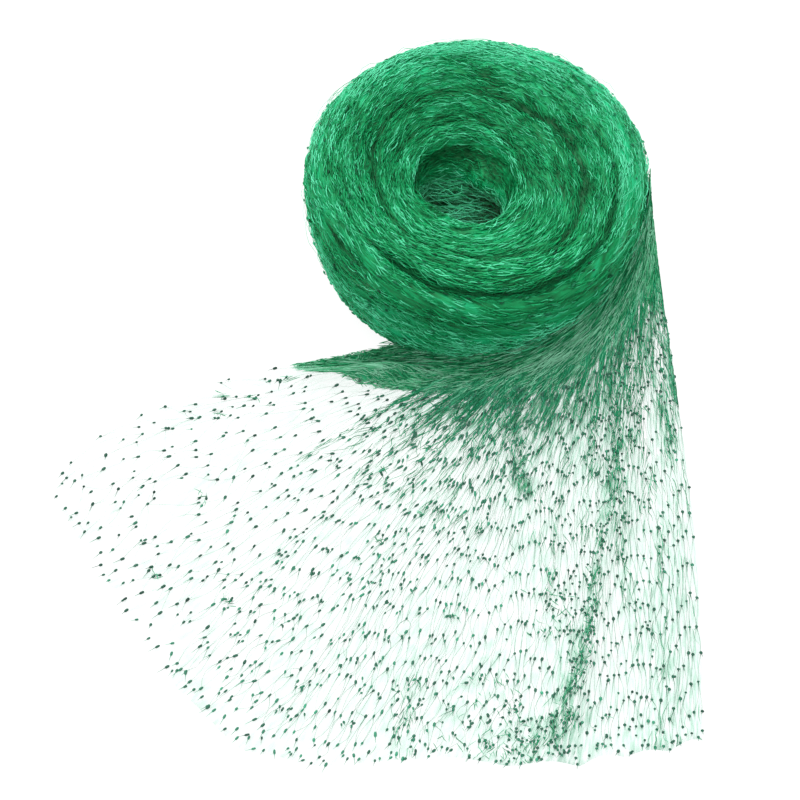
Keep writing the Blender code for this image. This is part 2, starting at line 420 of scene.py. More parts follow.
@dataclass(frozen=True)
class Finish:
    """A finish of green netting: its darkest, middle and lightest tones, its grain and its sheen."""

    name: str
    dark: Colour
    middle: Colour
    light: Colour
    places: Colour = (0.0, 0.5, 1.0)
    grain_scale: Colour = (90.0, 90.0, 90.0)
    grain_detail: float = 3.0
    grain_share: float = 0.25
    relief_strength: float = 0.15
    relief_depth: float = 0.2 * MM
    on_cloth: bool = False
    roughness: float = 0.50
    gloss: float = 0.16

    def material(self) -> bpy.types.Material:
        """A satin thread: the tone plus a share of the grain gives its colour, and the grain its relief.

        Returns:
            The material, made once and shared.
        """
        made = bpy.data.materials.get(self.name)
        if made is not None:
            return made
        nodes = Nodes(self.name)
        tone = nodes.add("ShaderNodeAttribute", {}, attribute_name="tone").outputs["Fac"]
        if self.on_cloth:
            place = nodes.add("ShaderNodeUVMap", {}, uv_map="cloth").outputs["UV"]
        else:
            place = nodes.add("ShaderNodeTexCoord", {}).outputs["Object"]
        grain = nodes.streaks(place, self.grain_scale, self.grain_detail)
        spread = nodes.maths("MULTIPLY_ADD", grain, self.grain_share, -0.5 * self.grain_share, clamp=False)
        stops = tuple(zip(self.places, (self.dark, self.middle, self.light)))
        colour = nodes.ramp(nodes.maths("ADD", tone, spread), stops)
        relief = {"Height": grain, "Strength": self.relief_strength, "Distance": self.relief_depth}
        normal = nodes.add("ShaderNodeBump", relief).outputs["Normal"]
        sheen = {"Roughness": self.roughness, "Specular IOR Level": self.gloss}
        nodes.feed(nodes.shader, {"Base Color": colour, "Normal": normal, **sheen})
        self.open_up(nodes, tone, grain)
        return nodes.material

    def open_up(self, nodes: Nodes, tone: Socket, grain: Socket) -> None:
        """Leaves the finish closed: only a haze opens."""


@dataclass(frozen=True)
class HazeFinish(Finish):
    """Thread too fine to show singly: a sheer green whose strength the piece's tone gives."""

    strand_from: float = 0.38
    strand_to: float = 0.62
    between_strands: float = 0.35
    on_strands: float = 2.6
    closes_from: float = 0.80

    def open_up(self, nodes: Nodes, tone: Socket, grain: Socket) -> None:
        """Makes the finish see-through: its alpha is the tone times the streaks, and it closes at full tone.

        Args:
            nodes: The material's nodes.
            tone: The piece's tone.
            grain: The streaks along the strands.
        """
        strands = nodes.ranged(grain, self.strand_from, self.strand_to, self.between_strands, self.on_strands)
        strength = nodes.maths("MULTIPLY", tone, strands)
        alpha = nodes.maths("ADD", strength, nodes.ranged(tone, self.closes_from, 1.0))
        nodes.feed(nodes.shader, {"Alpha": alpha})


WOUND_STRAND = Finish("wound_strand", (0.0000, 0.088, 0.024), (0.0010, 0.262, 0.082), (0.095, 0.600, 0.340))
PACKED_NET = Finish(
    "packed_net",
    (0.0000, 0.064, 0.016),
    (0.0005, 0.200, 0.060),
    (0.008, 0.352, 0.148),
    grain_scale=(110.0, 1100.0, 1.0),
    grain_share=1.6,
    relief_strength=0.8,
    relief_depth=0.8 * MM,
    on_cloth=True,
)
ROLL_KNOT = Finish("roll_knot", (0.000, 0.040, 0.014), (0.002, 0.120, 0.048), (0.032, 0.290, 0.145))
SHEER_STRAND = Finish("sheer_strand", (0.001, 0.092, 0.030), (0.008, 0.280, 0.104), (0.200, 0.500, 0.330))
NET_THREAD = Finish("net_thread", (0.004, 0.110, 0.048), (0.040, 0.230, 0.130), (0.200, 0.420, 0.310))
NET_KNOT = Finish("net_knot", (0.010, 0.034, 0.024), (0.028, 0.116, 0.074), (0.050, 0.330, 0.190))
GATHERED = Finish("gathered_net", (0.001, 0.100, 0.038), (0.008, 0.245, 0.105), (0.150, 0.480, 0.310))
HAZE = HazeFinish(
    "net_haze",
    (0.330, 0.600, 0.480),
    (0.110, 0.340, 0.205),
    (0.012, 0.245, 0.100),
    places=(0.10, 0.45, 0.85),
    grain_scale=(420.0, 110.0, 1.0),
    grain_detail=4.0,
    grain_share=0.9,
    relief_strength=0.5,
    relief_depth=0.5 * MM,
    on_cloth=True,
)


# The wound roll


class Section(NamedTuple):
    """The turned form's outline, by the run along it from the foot of the eye to the outer foot."""

    run: Array
    radius: Array
    height: Array
    out: Array
    outward: Array
    upward: Array


class Swell(NamedTuple):
    """A slow rise and fall of the roll's top around its axis."""

    lobes: int
    bearing_deg: float
    height: float


class Fold(NamedTuple):
    """A fold of the gathered strip that juts into the eye: its hump about the axis, and its hump upwards."""

    around: Hump
    upwards: Hump


class Furrow(NamedTuple):
    """The edge of a turn: a furrow on a bowed line, its places measured out over face, rim and wall."""

    from_deg: float
    to_deg: float
    from_out: float
    to_out: float
    bow: float
    depth: float


SWELLS = (Swell(1, -80.0, -0.0020), Swell(2, 35.0, 0.0012), Swell(3, 140.0, 0.0008))

FOLDS = (
    Fold(Hump(50.0, 120.0, 0.013), Hump(0.045, 0.020)),
    Fold(Hump(-125.0, 84.0, 0.007), Hump(0.053, 0.024)),
)

FURROWS = (
    Furrow(-136.0, -22.0, 0.1080, 0.0940, 0.0050, 0.0050),
    Furrow(-131.0, -40.0, 0.0745, 0.0810, 0.0070, 0.0060),
    Furrow(-40.0, 12.0, 0.0810, 0.0660, 0.0000, 0.0030),
    Furrow(-55.0, 60.0, 0.0660, 0.0495, -0.0015, 0.0048),
    Furrow(60.0, 180.0, 0.0495, 0.0480, 0.0050, 0.0030),
    Furrow(-180.0, -108.0, 0.0480, 0.0560, -0.0045, 0.0035),
    Furrow(-100.0, -58.0, 0.0570, 0.0630, -0.0010, 0.0025),
    Furrow(-5.0, 88.0, 0.0330, 0.0430, -0.0050, 0.0028),
    Furrow(105.0, 160.0, 0.0410, 0.0380, 0.0000, 0.0025),
    Furrow(24.0, 62.0, 0.0700, 0.0750, 0.0020, 0.0018),
    Furrow(-158.0, -134.0, 0.0880, 0.0890, 0.0000, 0.0025),
    Furrow(-22.0, 90.0, 0.0940, 0.1000, 0.0030, 0.0030),
    Furrow(90.0, 224.0, 0.1000, 0.1080, 0.0000, 0.0030),
    Furrow(0.0, 250.0, 0.1240, 0.1280, 0.0000, 0.0035),
)


@dataclass(frozen=True)
class WoundForm:
    """The roll's form: a turned outline, shaped by furrows at its turns' edges, swells and folds."""

    axis: tuple[float, float] = (0.0525, 0.1045)
    base_radius: float = 0.069
    bulge_radius: float = 0.088
    bulge_height: float = 0.058
    crest_height: float = 0.078
    rim_round: float = 0.018
    eye_radius: float = 0.026
    eye_foot_radius: float = 0.023
    lip_round: float = 0.005
    lip_height: float = 0.066
    eye_shift: tuple[float, float] = (-0.006, -0.006)
    section_steps: int = 60
    furrow_widths: tuple[float, float] = (0.0028, 0.0060)
    furrow_run_out_deg: float = 12.0
    furrow_foot: Rise = Rise(0.0, 0.030)
    furrow_full_depth: float = 5.0 * MM
    # Painted shade: how dark the furrows are made, and the thin line low in each one.
    furrow_painted_shade: float = 0.20
    line_width: float = 1.7 * MM
    line_full_depth: float = 2.6 * MM
    line_wander: float = 1.0 * MM
    line_wander_size: float = 30.0 * MM
    line_painted_shade: float = 0.46
    swirl_bearing_deg: float = -75.0
    swirl_reach: float = 0.005
    swirl_run_in: float = 0.019
    swirl_run_out: Rise = Rise(0.130, -0.035)
    peel_right: Rise = Rise(20.0, -70.0)
    peel_left: Rise = Rise(-150.0, 90.0)
    peel_drop: Rise = Rise(0.080, 0.020, 0.012)
    shoulder: Hump = Hump(2.0, 56.0, 0.0028)
    shoulder_from: Rise = Rise(0.086, 0.014)
    # Painted shade in the eye's far recess and its hole, and painted light across its middle and on its
    # folds.
    recess_shade_around: Hump = Hump(112.0, 230.0)
    recess_shade: Hump = Hump(0.060, 0.027, 0.60)
    lens: Hump = Hump(0.041, 0.020, 0.40)
    hole_shade: Rise = Rise(0.028, -0.008, 0.24)
    fold_full_jut: float = 9.0 * MM
    fold_painted_light: Rise = Rise(0.047, -0.012, 0.34)
    probe_run: float = 0.8 * MM
    probe_turn: float = 0.02

    @property
    def crest_radius(self) -> float:
        """Where the upper face meets the rim."""
        return self.bulge_radius - self.rim_round

    @cached_property
    def section(self) -> Section:
        """The outline: straight eye, round lip, dished face, round rim, and a wall drawn in as a quarter."""
        share = np.linspace(0.0, 1.0, self.section_steps)[:-1]
        bend = 0.5 * math.pi * share
        still, one = np.zeros_like(share), np.ones_like(share)
        lip_foot = self.lip_height - self.lip_round
        lip_radius = self.eye_radius + self.lip_round
        eye_out = mix(self.eye_foot_radius, self.eye_radius, share)
        eye = (eye_out, lip_foot * share, eye_out, still, one)
        lip_out = lip_radius - self.lip_round * np.cos(bend)
        lip = (lip_out, lip_foot + self.lip_round * np.sin(bend), lip_out, still, one)
        face_out = mix(lip_radius, self.crest_radius, share)
        dish = (self.crest_height - self.lip_height) * smooth_step(1.0 - share)
        face = (face_out, self.crest_height - dish, face_out, still, one)
        rim_radius = self.crest_radius + self.rim_round * np.sin(bend)
        rim_height = mix(self.bulge_height, self.crest_height, np.cos(bend))
        rim = (rim_radius, rim_height, self.crest_radius + self.rim_round * bend, np.sin(bend), np.cos(bend))
        down = self.bulge_height * np.cos(np.append(bend, 0.5 * math.pi))
        wall_radius = mix(self.base_radius, self.bulge_radius, quarter(down / self.bulge_height))
        wall_out = self.crest_radius + 0.5 * math.pi * self.rim_round + self.bulge_height - down
        wall = (wall_radius, down, wall_out, np.ones_like(down), np.zeros_like(down))
        radius, height, *rest = (np.concatenate(part) for part in zip(eye, lip, face, rim, wall))
        run = np.append(0.0, np.cumsum(np.hypot(np.diff(radius), np.diff(height))))
        return Section(run, radius, height, *rest)

    @property
    def length(self) -> float:
        """The run from the foot of the eye to the outer foot."""
        return float(self.section.run[-1])

    def run_at(self, out: float) -> float:
        """The run at which the outline is a distance out."""
        outside = self.section.radius >= self.eye_radius
        return float(np.interp(out, self.section.out[outside], self.section.run[outside]))

    def read(self, run: Array, part: str) -> Array:
        """One of the outline's values at some runs, by its name in the section."""
        return np.interp(run, self.section.run, getattr(self.section, part))

    def at(self, run: Array, bearing: Array) -> "Spots":
        """Places on the roll."""
        return Spots(self, run, bearing)


@dataclass(frozen=True)
class Spots:
    """Places on the roll, each a run along its outline and a bearing about its axis."""

    form: WoundForm
    run: Array
    bearing: Array

    @cached_property
    def radius(self) -> Array:
        """How far from the axis the outline is."""
        return self.form.read(self.run, "radius")

    @cached_property
    def height(self) -> Array:
        """How high the outline is."""
        return self.form.read(self.run, "height")

    @cached_property
    def out(self) -> Array:
        """How far out each place lies, measured over the face, the rim and the wall."""
        return self.form.read(self.run, "out")

    @property
    def in_eye(self) -> Array:
        """Whether each place lies in the eye."""
        return self.radius <= self.form.eye_radius

    def hollow(self, widths: tuple[float, float], full: float, most: float, shift: Array | float) -> Array:
        """The furrows: each is a hollow along its bowed line and fades at its ends; the deepest one counts.

        Args:
            widths: How wide a furrow is on the inner side of its line, and on the outer side.
            full: The depth that counts as one.
            most: The most that a depth counts for.
            shift: How far out each place is taken to be moved.

        Returns:
            The depth at each place, from nothing.
        """
        out, bearing = np.broadcast_arrays(self.out + shift, self.bearing)
        deepest = np.zeros(out.shape)
        for row in FURROWS:
            span = row.to_deg - row.from_deg
            before = 0.5 * (360.0 - span)
            turned = (np.degrees(bearing) - row.from_deg + before) % 360.0 - before
            share = np.clip(turned / span, 0.0, 1.0)
            beyond = out - mix(row.from_out, row.to_out, share) - 4.0 * row.bow * share * (1.0 - share)
            fade = smooth_step(0.5 + 0.5 * turned / self.form.furrow_run_out_deg)
            fade = fade * smooth_step(0.5 + 0.5 * (span - turned) / self.form.furrow_run_out_deg)
            depth = np.minimum(row.depth * fade / full, most)
            deepest = np.maximum(deepest, depth * np.exp(-((beyond / np.where(beyond < 0.0, *widths)) ** 2)))
        return deepest

    @cached_property
    def groove(self) -> Array:
        """How deep the furrows are, steep on their inner side: none in the eye, dying away to the foot."""
        depth = self.hollow(self.form.furrow_widths, 1.0, math.inf, 0.0)
        return depth * self.form.furrow_foot.at(self.height) * ~self.in_eye

    @property
    def furrow_line_shade(self) -> Array:
        """How strong the thin line of painted shade in each furrow is: it wanders, and is whole in all but
        the shallowest.
        """
        form = self.form
        wander = LINE_WANDER.around(self.out / form.line_wander_size, self.bearing)
        widths = (form.line_width, form.line_width)
        return self.hollow(widths, form.line_full_depth, 1.0, form.line_wander * wander) * ~self.in_eye

    @cached_property
    def jut(self) -> Array:
        """How far the folds jut into the eye: the sum of a hump for each, about its bearing and height."""
        humps = [fold.around.about(self.bearing) * fold.upwards.at(self.height) for fold in FOLDS]
        return sum(humps) * self.in_eye

    @property
    def drift(self) -> Array:
        """How far out a strand is drawn: the turns lie off centre, and peel down where the net leaves.

        It is a wave once and twice round on the face, and a smooth drop on the wall.
        """
        form = self.form
        on_face = smooth_step((self.out - form.eye_radius) / form.swirl_run_in)
        on_face = on_face * form.swirl_run_out.at(self.out)
        turned = self.bearing - math.radians(form.swirl_bearing_deg)
        swirl = form.swirl_reach * (np.cos(turned) + np.cos(2.0 * turned)) * on_face
        degrees = aside(self.bearing, 0.0)
        return swirl + form.peel_right.at(degrees) * form.peel_left.at(degrees) * form.peel_drop.at(self.out)

    @cached_property
    def points(self) -> Array:
        """Points of the form: the outline less furrows and folds, with shoulder, swells and set-off eye."""
        form = self.form
        run, bearing = np.broadcast_arrays(self.run, self.bearing)
        depth = self.groove - form.shoulder.about(bearing) * form.shoulder_from.at(self.out)
        radius = self.radius - self.jut - depth * form.read(run, "outward")
        height = self.height - depth * form.read(run, "upward")
        lift = smooth_step(self.height / form.bulge_height)
        for swell in SWELLS:
            turned = bearing - math.radians(swell.bearing_deg)
            height = height + swell.height * lift * np.cos(swell.lobes * turned)
        near = 1.0 - smooth_step((radius - form.eye_radius) / (form.bulge_radius - form.eye_radius))
        x = radius * np.cos(bearing) + form.eye_shift[0] * near + form.axis[0]
        y = radius * np.sin(bearing) + form.eye_shift[1] * near + form.axis[1]
        return np.stack([x, y, height], axis=-1)

    def lifted(self, lift: Array) -> Array:
        """Points that stand off the roll, square to it.

        Args:
            lift: How far each point stands off, below the surface where it is negative.

        Returns:
            The points, none lower than the surface that the roll stands on.
        """
        step, turn = self.form.probe_run, self.form.probe_turn
        at, run, bearing = self.form.at, self.run, self.bearing
        along = at(run + step, bearing).points - at(run - step, bearing).points
        around = at(run, bearing + turn).points - at(run, bearing - turn).points
        points = self.points + lift[..., None] * unit(np.cross(along, around))
        points[..., 2] = np.maximum(points[..., 2], FLOOR_GAP)
        return points

    @property
    def painted_shade(self) -> Array:
        """The painted shade, as tone to take away: in furrows and their lines, and in the eye's far recess
        and its hole.

        It is below nothing, so painted light, at the eye's middle and on the folds that jut forward low in
        it.
        """
        form = self.form
        recess_shade = form.recess_shade_around.about(self.bearing) * form.recess_shade.at(self.height)
        inside = (recess_shade - form.lens.at(self.height) + form.hole_shade.at(self.height)) * self.in_eye
        fold = np.clip(self.jut / form.fold_full_jut, 0.0, 1.0) * form.fold_painted_light.at(self.height)
        furrow = np.clip(self.groove / form.furrow_full_depth, 0.0, 1.1)
        return form.furrow_painted_shade * furrow**3 + form.line_painted_shade * self.furrow_line_shade + inside - fold


@dataclass(frozen=True)
class Winding:
    """One kind of thread wound round the roll, and how it lies."""

    name: str
    count: int
    seed: int
    runs: tuple[float, float]
    length: tuple[float, float] = (4.0 * MM, 12.5 * MM)
    thickness: tuple[float, float] = (0.40 * MM, 0.70 * MM)
    lift: tuple[float, float] = (-0.40 * MM, 0.70 * MM)
    arch: float = 0.0
    skew: float = 0.13
    wave: float = 0.50 * MM
    ripple: float = 0.30 * MM
    stations: int = 5
    sides: int = 3
    outline: tuple[float, ...] = (0.4, 1.0, 1.0, 0.4)
    buried_ends: float = 1.1 * MM
    tone: tuple[float, float] = (0.50, 0.15)


@dataclass
class WoundRoll:
    """The wound roll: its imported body, and the strands, knots and stray threads that cover it."""

    form: WoundForm
    body_runs: int = 136
    body_bearings: int = 240
    body_seam: float = -0.75
    relief: float = 1.0 * MM
    ridge: float = 1.6 * MM
    ridge_share: float = 0.45
    ridge_sink: float = 0.7
    ridge_tone: float = 0.12
    broad_ridge: float = 4.0 * MM
    broad_share: float = 0.8
    run_out: float = 4.0 * MM
    bundle: float = 14.0 * MM
    bundle_lean: float = 0.22
    patch: float = 17.0 * MM
    patch_tone: float = 0.13
    flow: float = 2.2 * MM
    flow_tone: float = 0.13
    layer: float = 6.0 * MM
    layer_edge_shade: float = 0.26
    edge_width: float = 0.11
    # Painted light: paler on the far side of the top, and low on the wall under the bulge.
    painted_light_bearing_deg: float = 88.0
    painted_light_from: Rise = Rise(0.050, 0.040, 0.76)
    painted_light_ends: Rise = Rise(0.105, 0.025, 0.65)
    wall_painted_light: Rise = Rise(0.100, 0.030, 0.30)
    cloth_round: float = 0.440
    beat: tuple[float, float] = (5.0 * MM, 12.0 * MM)
    vigour: tuple[float, float] = (0.3, 1.0)
    ripple_beat: float = 0.7
    arch_share: tuple[float, float] = (0.2, 1.0)
    # Painted shade: strands that lie low among the others are darker.
    lift_painted_shade: float = 0.12
    least_middle: float = 2.0 * MM
    least_run: float = 1.2 * MM
    stroke: float = 3.4 * MM
    stroke_tone: float = 0.24
    web_count: int = 230
    web_stations: int = 9
    web_bearing: tuple[float, float] = (0.42, 0.55)
    web_skew: float = 0.35
    web_low: tuple[float, float] = (12.0 * MM, 38.0 * MM)
    web_climb: tuple[float, float] = (1.0 * MM, 15.0 * MM)
    web_inset: float = -1.0 * MM
    web_span: tuple[float, float] = (0.25, 0.55)
    web_bow: float = 3.0 * MM
    web_waves: tuple[float, float] = (0.8, 2.0)
    web_wave: float = 0.8 * MM
    web_thickness: tuple[float, float] = (0.40 * MM, 0.62 * MM)
    web_tone: tuple[float, float] = (0.30, 0.16)
    web_outline: Curve = Curve((0.0, 0.2, 0.8, 1.0), (0.3, 1.0, 1.0, 0.3))
    # Painted light: the web strands are paler at mid-height in the eye.
    web_painted_light: Hump = Hump(37.0 * MM, 22.0 * MM, 0.60)

    def body(self) -> Piece:
        """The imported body: the wound form as a grid, ridged along the winding, with its foot closed.

        Returns:
            The piece.
        """
        turns = np.linspace(self.body_seam, self.body_seam + 1.0, self.body_bearings + 1)[None, :]
        run = np.linspace(0.0, self.form.length, self.body_runs)[:, None]
        spots = self.form.at(run, TURN * turns[:, :-1])
        level = spots.run - spots.drift
        ridges = RIDGES.around(level / self.ridge, spots.bearing)
        ridges = ridges + self.broad_share * BROAD_RIDGES.around(level / self.broad_ridge, spots.bearing)
        edge = smooth_step(run / self.run_out) * smooth_step((self.form.length - run) / self.run_out)
        points = spots.lifted(self.relief * (self.ridge_share * ridges - self.ridge_sink) * edge)
        points[0, :, 2] = 0.0
        points[-1, :, 2] = 0.0
        # The body's tone: its ridges, random patches, and the roll's painted light and shade.
        tone = 0.5 + self.ridge_tone * ridges + self.patches_and_painted_light(spots) - spots.painted_shade
        level = np.pad(level, ((0, 1), (0, 1)), mode="wrap")
        cloth = np.stack(np.broadcast_arrays(turns * self.cloth_round, level), axis=-1)
        piece = skin(points, tone, closed=True).put("roll_body", PACKED_NET, Slot.WOUND, cells(cloth))
        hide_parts("net_roll")
        return piece

    def patches_and_painted_light(self, spots: Spots) -> Array:
        """The roll's changes of tone: random patches where the net lies close, painted shade at layers'
        edges, and painted light behind and low.

        A layer's edge is a thin line of painted shade where a smooth pattern, drawn out along the winding,
        passes 0.

        Args:
            spots: The places.

        Returns:
            The tone to add.
        """
        level = spots.run - spots.drift
        patches_and_painted_light = self.patch_tone * PATCHES.around(spots.run / self.patch, spots.bearing)
        patches_and_painted_light = patches_and_painted_light + self.flow_tone * FLOW.around(level / self.flow, spots.bearing)
        # Painted shade: a thin dark line at each layer's edge.
        layers = LAYERS.around(level / self.layer, spots.bearing)
        patches_and_painted_light = patches_and_painted_light - self.layer_edge_shade * np.exp(-((layers / self.edge_width) ** 2))
        # Painted light, towards the far side of the top, and low on the wall.
        behind = (0.5 + 0.5 * np.cos(spots.bearing - math.radians(self.painted_light_bearing_deg))) ** 1.5
        behind = behind * self.painted_light_from.at(spots.out) * (1.0 - self.painted_light_ends.at(spots.out))
        return patches_and_painted_light + behind + self.wall_painted_light.at(spots.out)

    def wind(self, kind: Winding) -> Surface:
        """Threads wound round the roll: each follows its turn, leans with its neighbours and waves by itself.

        Args:
            kind: The kind of thread.

        Returns:
            The threads' surface.
        """
        rng = np.random.default_rng(kind.seed)
        one = (kind.count, 1)
        fine = np.linspace(*kind.runs, 400)
        weight = np.cumsum(self.form.read(fine, "radius"))
        start = np.interp(rng.uniform(0.0, weight[-1], one), weight, fine)
        share = np.linspace(-0.5, 0.5, kind.stations)[None, :]
        way = rng.uniform(*kind.length, one) * share
        middle = rng.uniform(-math.pi, math.pi, one)
        bearing = middle + way / self.form.read(start, "radius")
        lean = self.bundle_lean * LEANS.around(start / self.bundle, middle)
        lean = lean + rng.normal(0.0, kind.skew, one)
        beat = rng.uniform(*self.beat, one)
        wave = kind.wave * rng.uniform(*self.vigour, one) * np.sin(TURN * (way / beat + rng.random(one)))
        run = start + self.form.at(start, bearing).drift + lean * way + wave
        ripple = kind.ripple * np.sin(TURN * (way / (self.ripple_beat * beat) + rng.random(one)))
        arch = kind.arch * rng.uniform(*self.arch_share, one) ** 2 * np.cos(math.pi * share)
        lift = rng.uniform(*kind.lift, one) + ripple + arch - kind.buried_ends * np.abs(2.0 * share) ** 6
        radii = 0.5 * rng.uniform(*kind.thickness, one)
        radii = radii * np.interp(share, np.linspace(-0.5, 0.5, len(kind.outline)), kind.outline)
        strokes = ROLL_STROKES.strokes(way / self.stroke, rng)
        # Painted shade: the lower a strand lies, the darker it is.
        tone = rng.normal(*kind.tone, one) + self.stroke_tone * strokes + self.lift_painted_shade * lift / MM
        spots = self.form.at(run, bearing)
        # Random patches, and the roll's painted light and shade.
        tone = tone + self.patches_and_painted_light(spots) - spots.painted_shade
        middle_run = run[:, kind.stations // 2]
        kept = (middle_run > self.least_middle) & (middle_run < self.form.length - self.least_middle)
        run = np.clip(run[kept], self.least_run, self.form.length - self.least_run)
        points = self.form.at(run, bearing[kept]).lifted(lift[kept])
        return tubes(points, radii[kept], tone[kept], kind.sides)

    def eye_web(self) -> Surface:
        """Strands low in the eye: each is part of a chord from wall to wall, bowed and waved, and made paler
        at mid-height: painted light.

        Returns:
            The strands' surface.
        """
        rng = np.random.default_rng(31)
        one, each = (self.web_count, 1), (self.web_count, 1, 3)
        share = np.linspace(0.0, 1.0, self.web_stations)[None, :]
        first = rng.normal(*self.web_bearing, one)
        second = math.pi - first + rng.normal(0.0, self.web_skew, one)
        low = rng.uniform(*self.web_low, one)
        high = low + rng.uniform(*self.web_climb, one)
        inset = np.full(one, self.web_inset)
        span = rng.uniform(*self.web_span, one)
        place = (rng.random(one) * (1.0 - span) + span * share)[..., None]
        paths = mix(self.form.at(low, first).lifted(inset), self.form.at(high, second).lifted(inset), place)
        paths = paths + np.sin(math.pi * place) * rng.normal(0.0, self.web_bow, each)
        waves = np.sin(TURN * (rng.uniform(*self.web_waves, one) * share + rng.random(one)))
        paths = paths + waves[..., None] * rng.normal(0.0, self.web_wave, each)
        radii = 0.5 * rng.uniform(*self.web_thickness, one) * self.web_outline.at(share)
        return tubes(paths, radii, rng.normal(*self.web_tone, one) + self.web_painted_light.at(paths[..., 2]))

    def build(self) -> list[Piece]:
        """Makes the roll's pieces.

        Returns:
            The pieces.
        """
        form = self.form
        lip = form.run_at(form.eye_radius + form.lip_round)
        crest = form.run_at(form.crest_radius)
        rim = form.run_at(form.crest_radius + 0.5 * math.pi * form.rim_round)
        face = Winding("roll_face_strands", 6000, 41, (lip - 4.0 * MM, crest + 10.0 * MM))
        wall = Winding("roll_wall_strands", 6400, 42, (crest + 4.0 * MM, form.length - 1.5 * MM))
        # The eye's strands are paler than the face's: painted light, so they don't sink into the dark of the
        # eye.
        eye = Winding("roll_eye_strands", 1300, 43, (2.0 * MM, lip), skew=0.30, tone=(0.60, 0.17))
        knots = Winding(
            "roll_knots",
            640,
            44,
            (crest - 12.0 * MM, form.length - 3.0 * MM),
            length=(2.0 * MM, 3.6 * MM),
            thickness=(0.9 * MM, 1.4 * MM),
            lift=(0.0, 1.3 * MM),
            wave=0.0,
            ripple=0.0,
            sides=4,
            outline=(0.15, 0.9, 1.0, 0.6, 0.15),
            buried_ends=0.0,
            tone=(0.34, 0.18),
        )
        strays = Winding(
            "roll_stray_threads",
            420,
            45,
            (crest - 4.0 * MM, rim + 34.0 * MM),
            length=(14.0 * MM, 42.0 * MM),
            thickness=(0.16 * MM, 0.26 * MM),
            arch=3.2 * MM,
            skew=0.30,
            stations=9,
            tone=(0.30, 0.15),
        )
        pieces = [self.body()]
        dressed = ((face, WOUND_STRAND), (wall, WOUND_STRAND), (knots, ROLL_KNOT), (strays, WOUND_STRAND))
        for kind, finish in dressed:
            pieces.append(self.wind(kind).put(kind.name, finish, Slot.WOUND))
        inside = self.wind(eye).beside(self.eye_web())
        pieces.append(inside.put(eye.name, WOUND_STRAND, Slot.WOUND))
        return pieces


# The loose end


class Guide(NamedTuple):
    """A guide strand of the fan: where it leaves the roll, its curve's handles, and its end at the hem."""

    leaves_deg: float
    leaves_height: float
    splay_deg: float
    lead: float
    hem_x: float
    hem_y: float
    hem_heading_deg: float
    trail: float
    lands: float


class Crease(NamedTuple):
    """A crease along the strands: its line across the net, its stretch along it, its height and width."""

    from_across: float
    to_across: float
    starts: float
    ends: float
    height: float
    width: float
    pull: float


class Tangle(NamedTuple):
    """Strands drawn together on a stretch of the net, in its shares across and along, and how they lie."""

    from_across: float
    starts: float
    to_across: float
    ends: float
    width: float
    strands: int
    knots: int
    stray: float
    veil: float


class Gap(NamedTuple):
    """A gap where the gathered strands part: its middle and width across the net, and its stretch."""

    across: float
    width: float
    starts: float
    ends: float


GUIDES = (
    Guide(-121.0, 0.008, 40.0, 0.0585, -0.211, -0.149, -114.0, 0.066, 0.30),
    Guide(-93.0, 0.013, 4.0, 0.098, -0.209, -0.163, -130.0, 0.060, 0.38),
    Guide(-85.0, 0.017, 3.0, 0.095, -0.191, -0.187, -145.0, 0.070, 0.40),
    Guide(-79.0, 0.019, 3.0, 0.092, -0.176, -0.213, -150.0, 0.070, 0.42),
    Guide(-70.0, 0.022, 3.0, 0.090, -0.151, -0.249, -141.0, 0.070, 0.45),
    Guide(-60.0, 0.026, 2.0, 0.085, -0.116, -0.287, -130.0, 0.080, 0.46),
    Guide(-49.0, 0.031, 0.0, 0.085, -0.072, -0.298, -119.0, 0.080, 0.48),
    Guide(-39.0, 0.036, 0.0, 0.085, -0.020, -0.296, -112.0, 0.080, 0.50),
    Guide(-29.0, 0.042, 0.0, 0.085, 0.029, -0.300, -104.0, 0.080, 0.52),
    Guide(-19.0, 0.048, 2.0, 0.080, 0.056, -0.294, -98.0, 0.080, 0.55),
    Guide(-9.0, 0.053, 4.0, 0.080, 0.081, -0.291, -95.0, 0.110, 0.58),
    Guide(1.0, 0.058, 6.0, 0.088, 0.100, -0.285, -95.0, 0.150, 0.62),
)

CREASES = (
    Crease(0.11, 0.07, 0.12, 0.32, 0.0100, 0.050, 0.0),
    Crease(0.46, 0.68, 0.12, 0.56, 0.0075, 0.036, 0.12),
    Crease(0.81, 0.72, 0.50, 1.00, 0.0070, 0.028, 0.25),
    Crease(0.76, 0.79, 0.15, 0.42, 0.0060, 0.024, 0.15),
    Crease(0.84, 0.86, 0.28, 0.60, 0.0060, 0.024, 0.25),
    Crease(0.98, 0.93, 0.30, 0.90, 0.0050, 0.028, 0.12),
    Crease(0.56, 0.62, 0.76, 1.00, 0.0050, 0.026, 0.10),
    Crease(0.43, 0.54, 0.58, 0.72, 0.0035, 0.032, 0.0),
    Crease(0.12, 0.17, 0.40, 0.85, 0.0030, 0.040, 0.0),
)

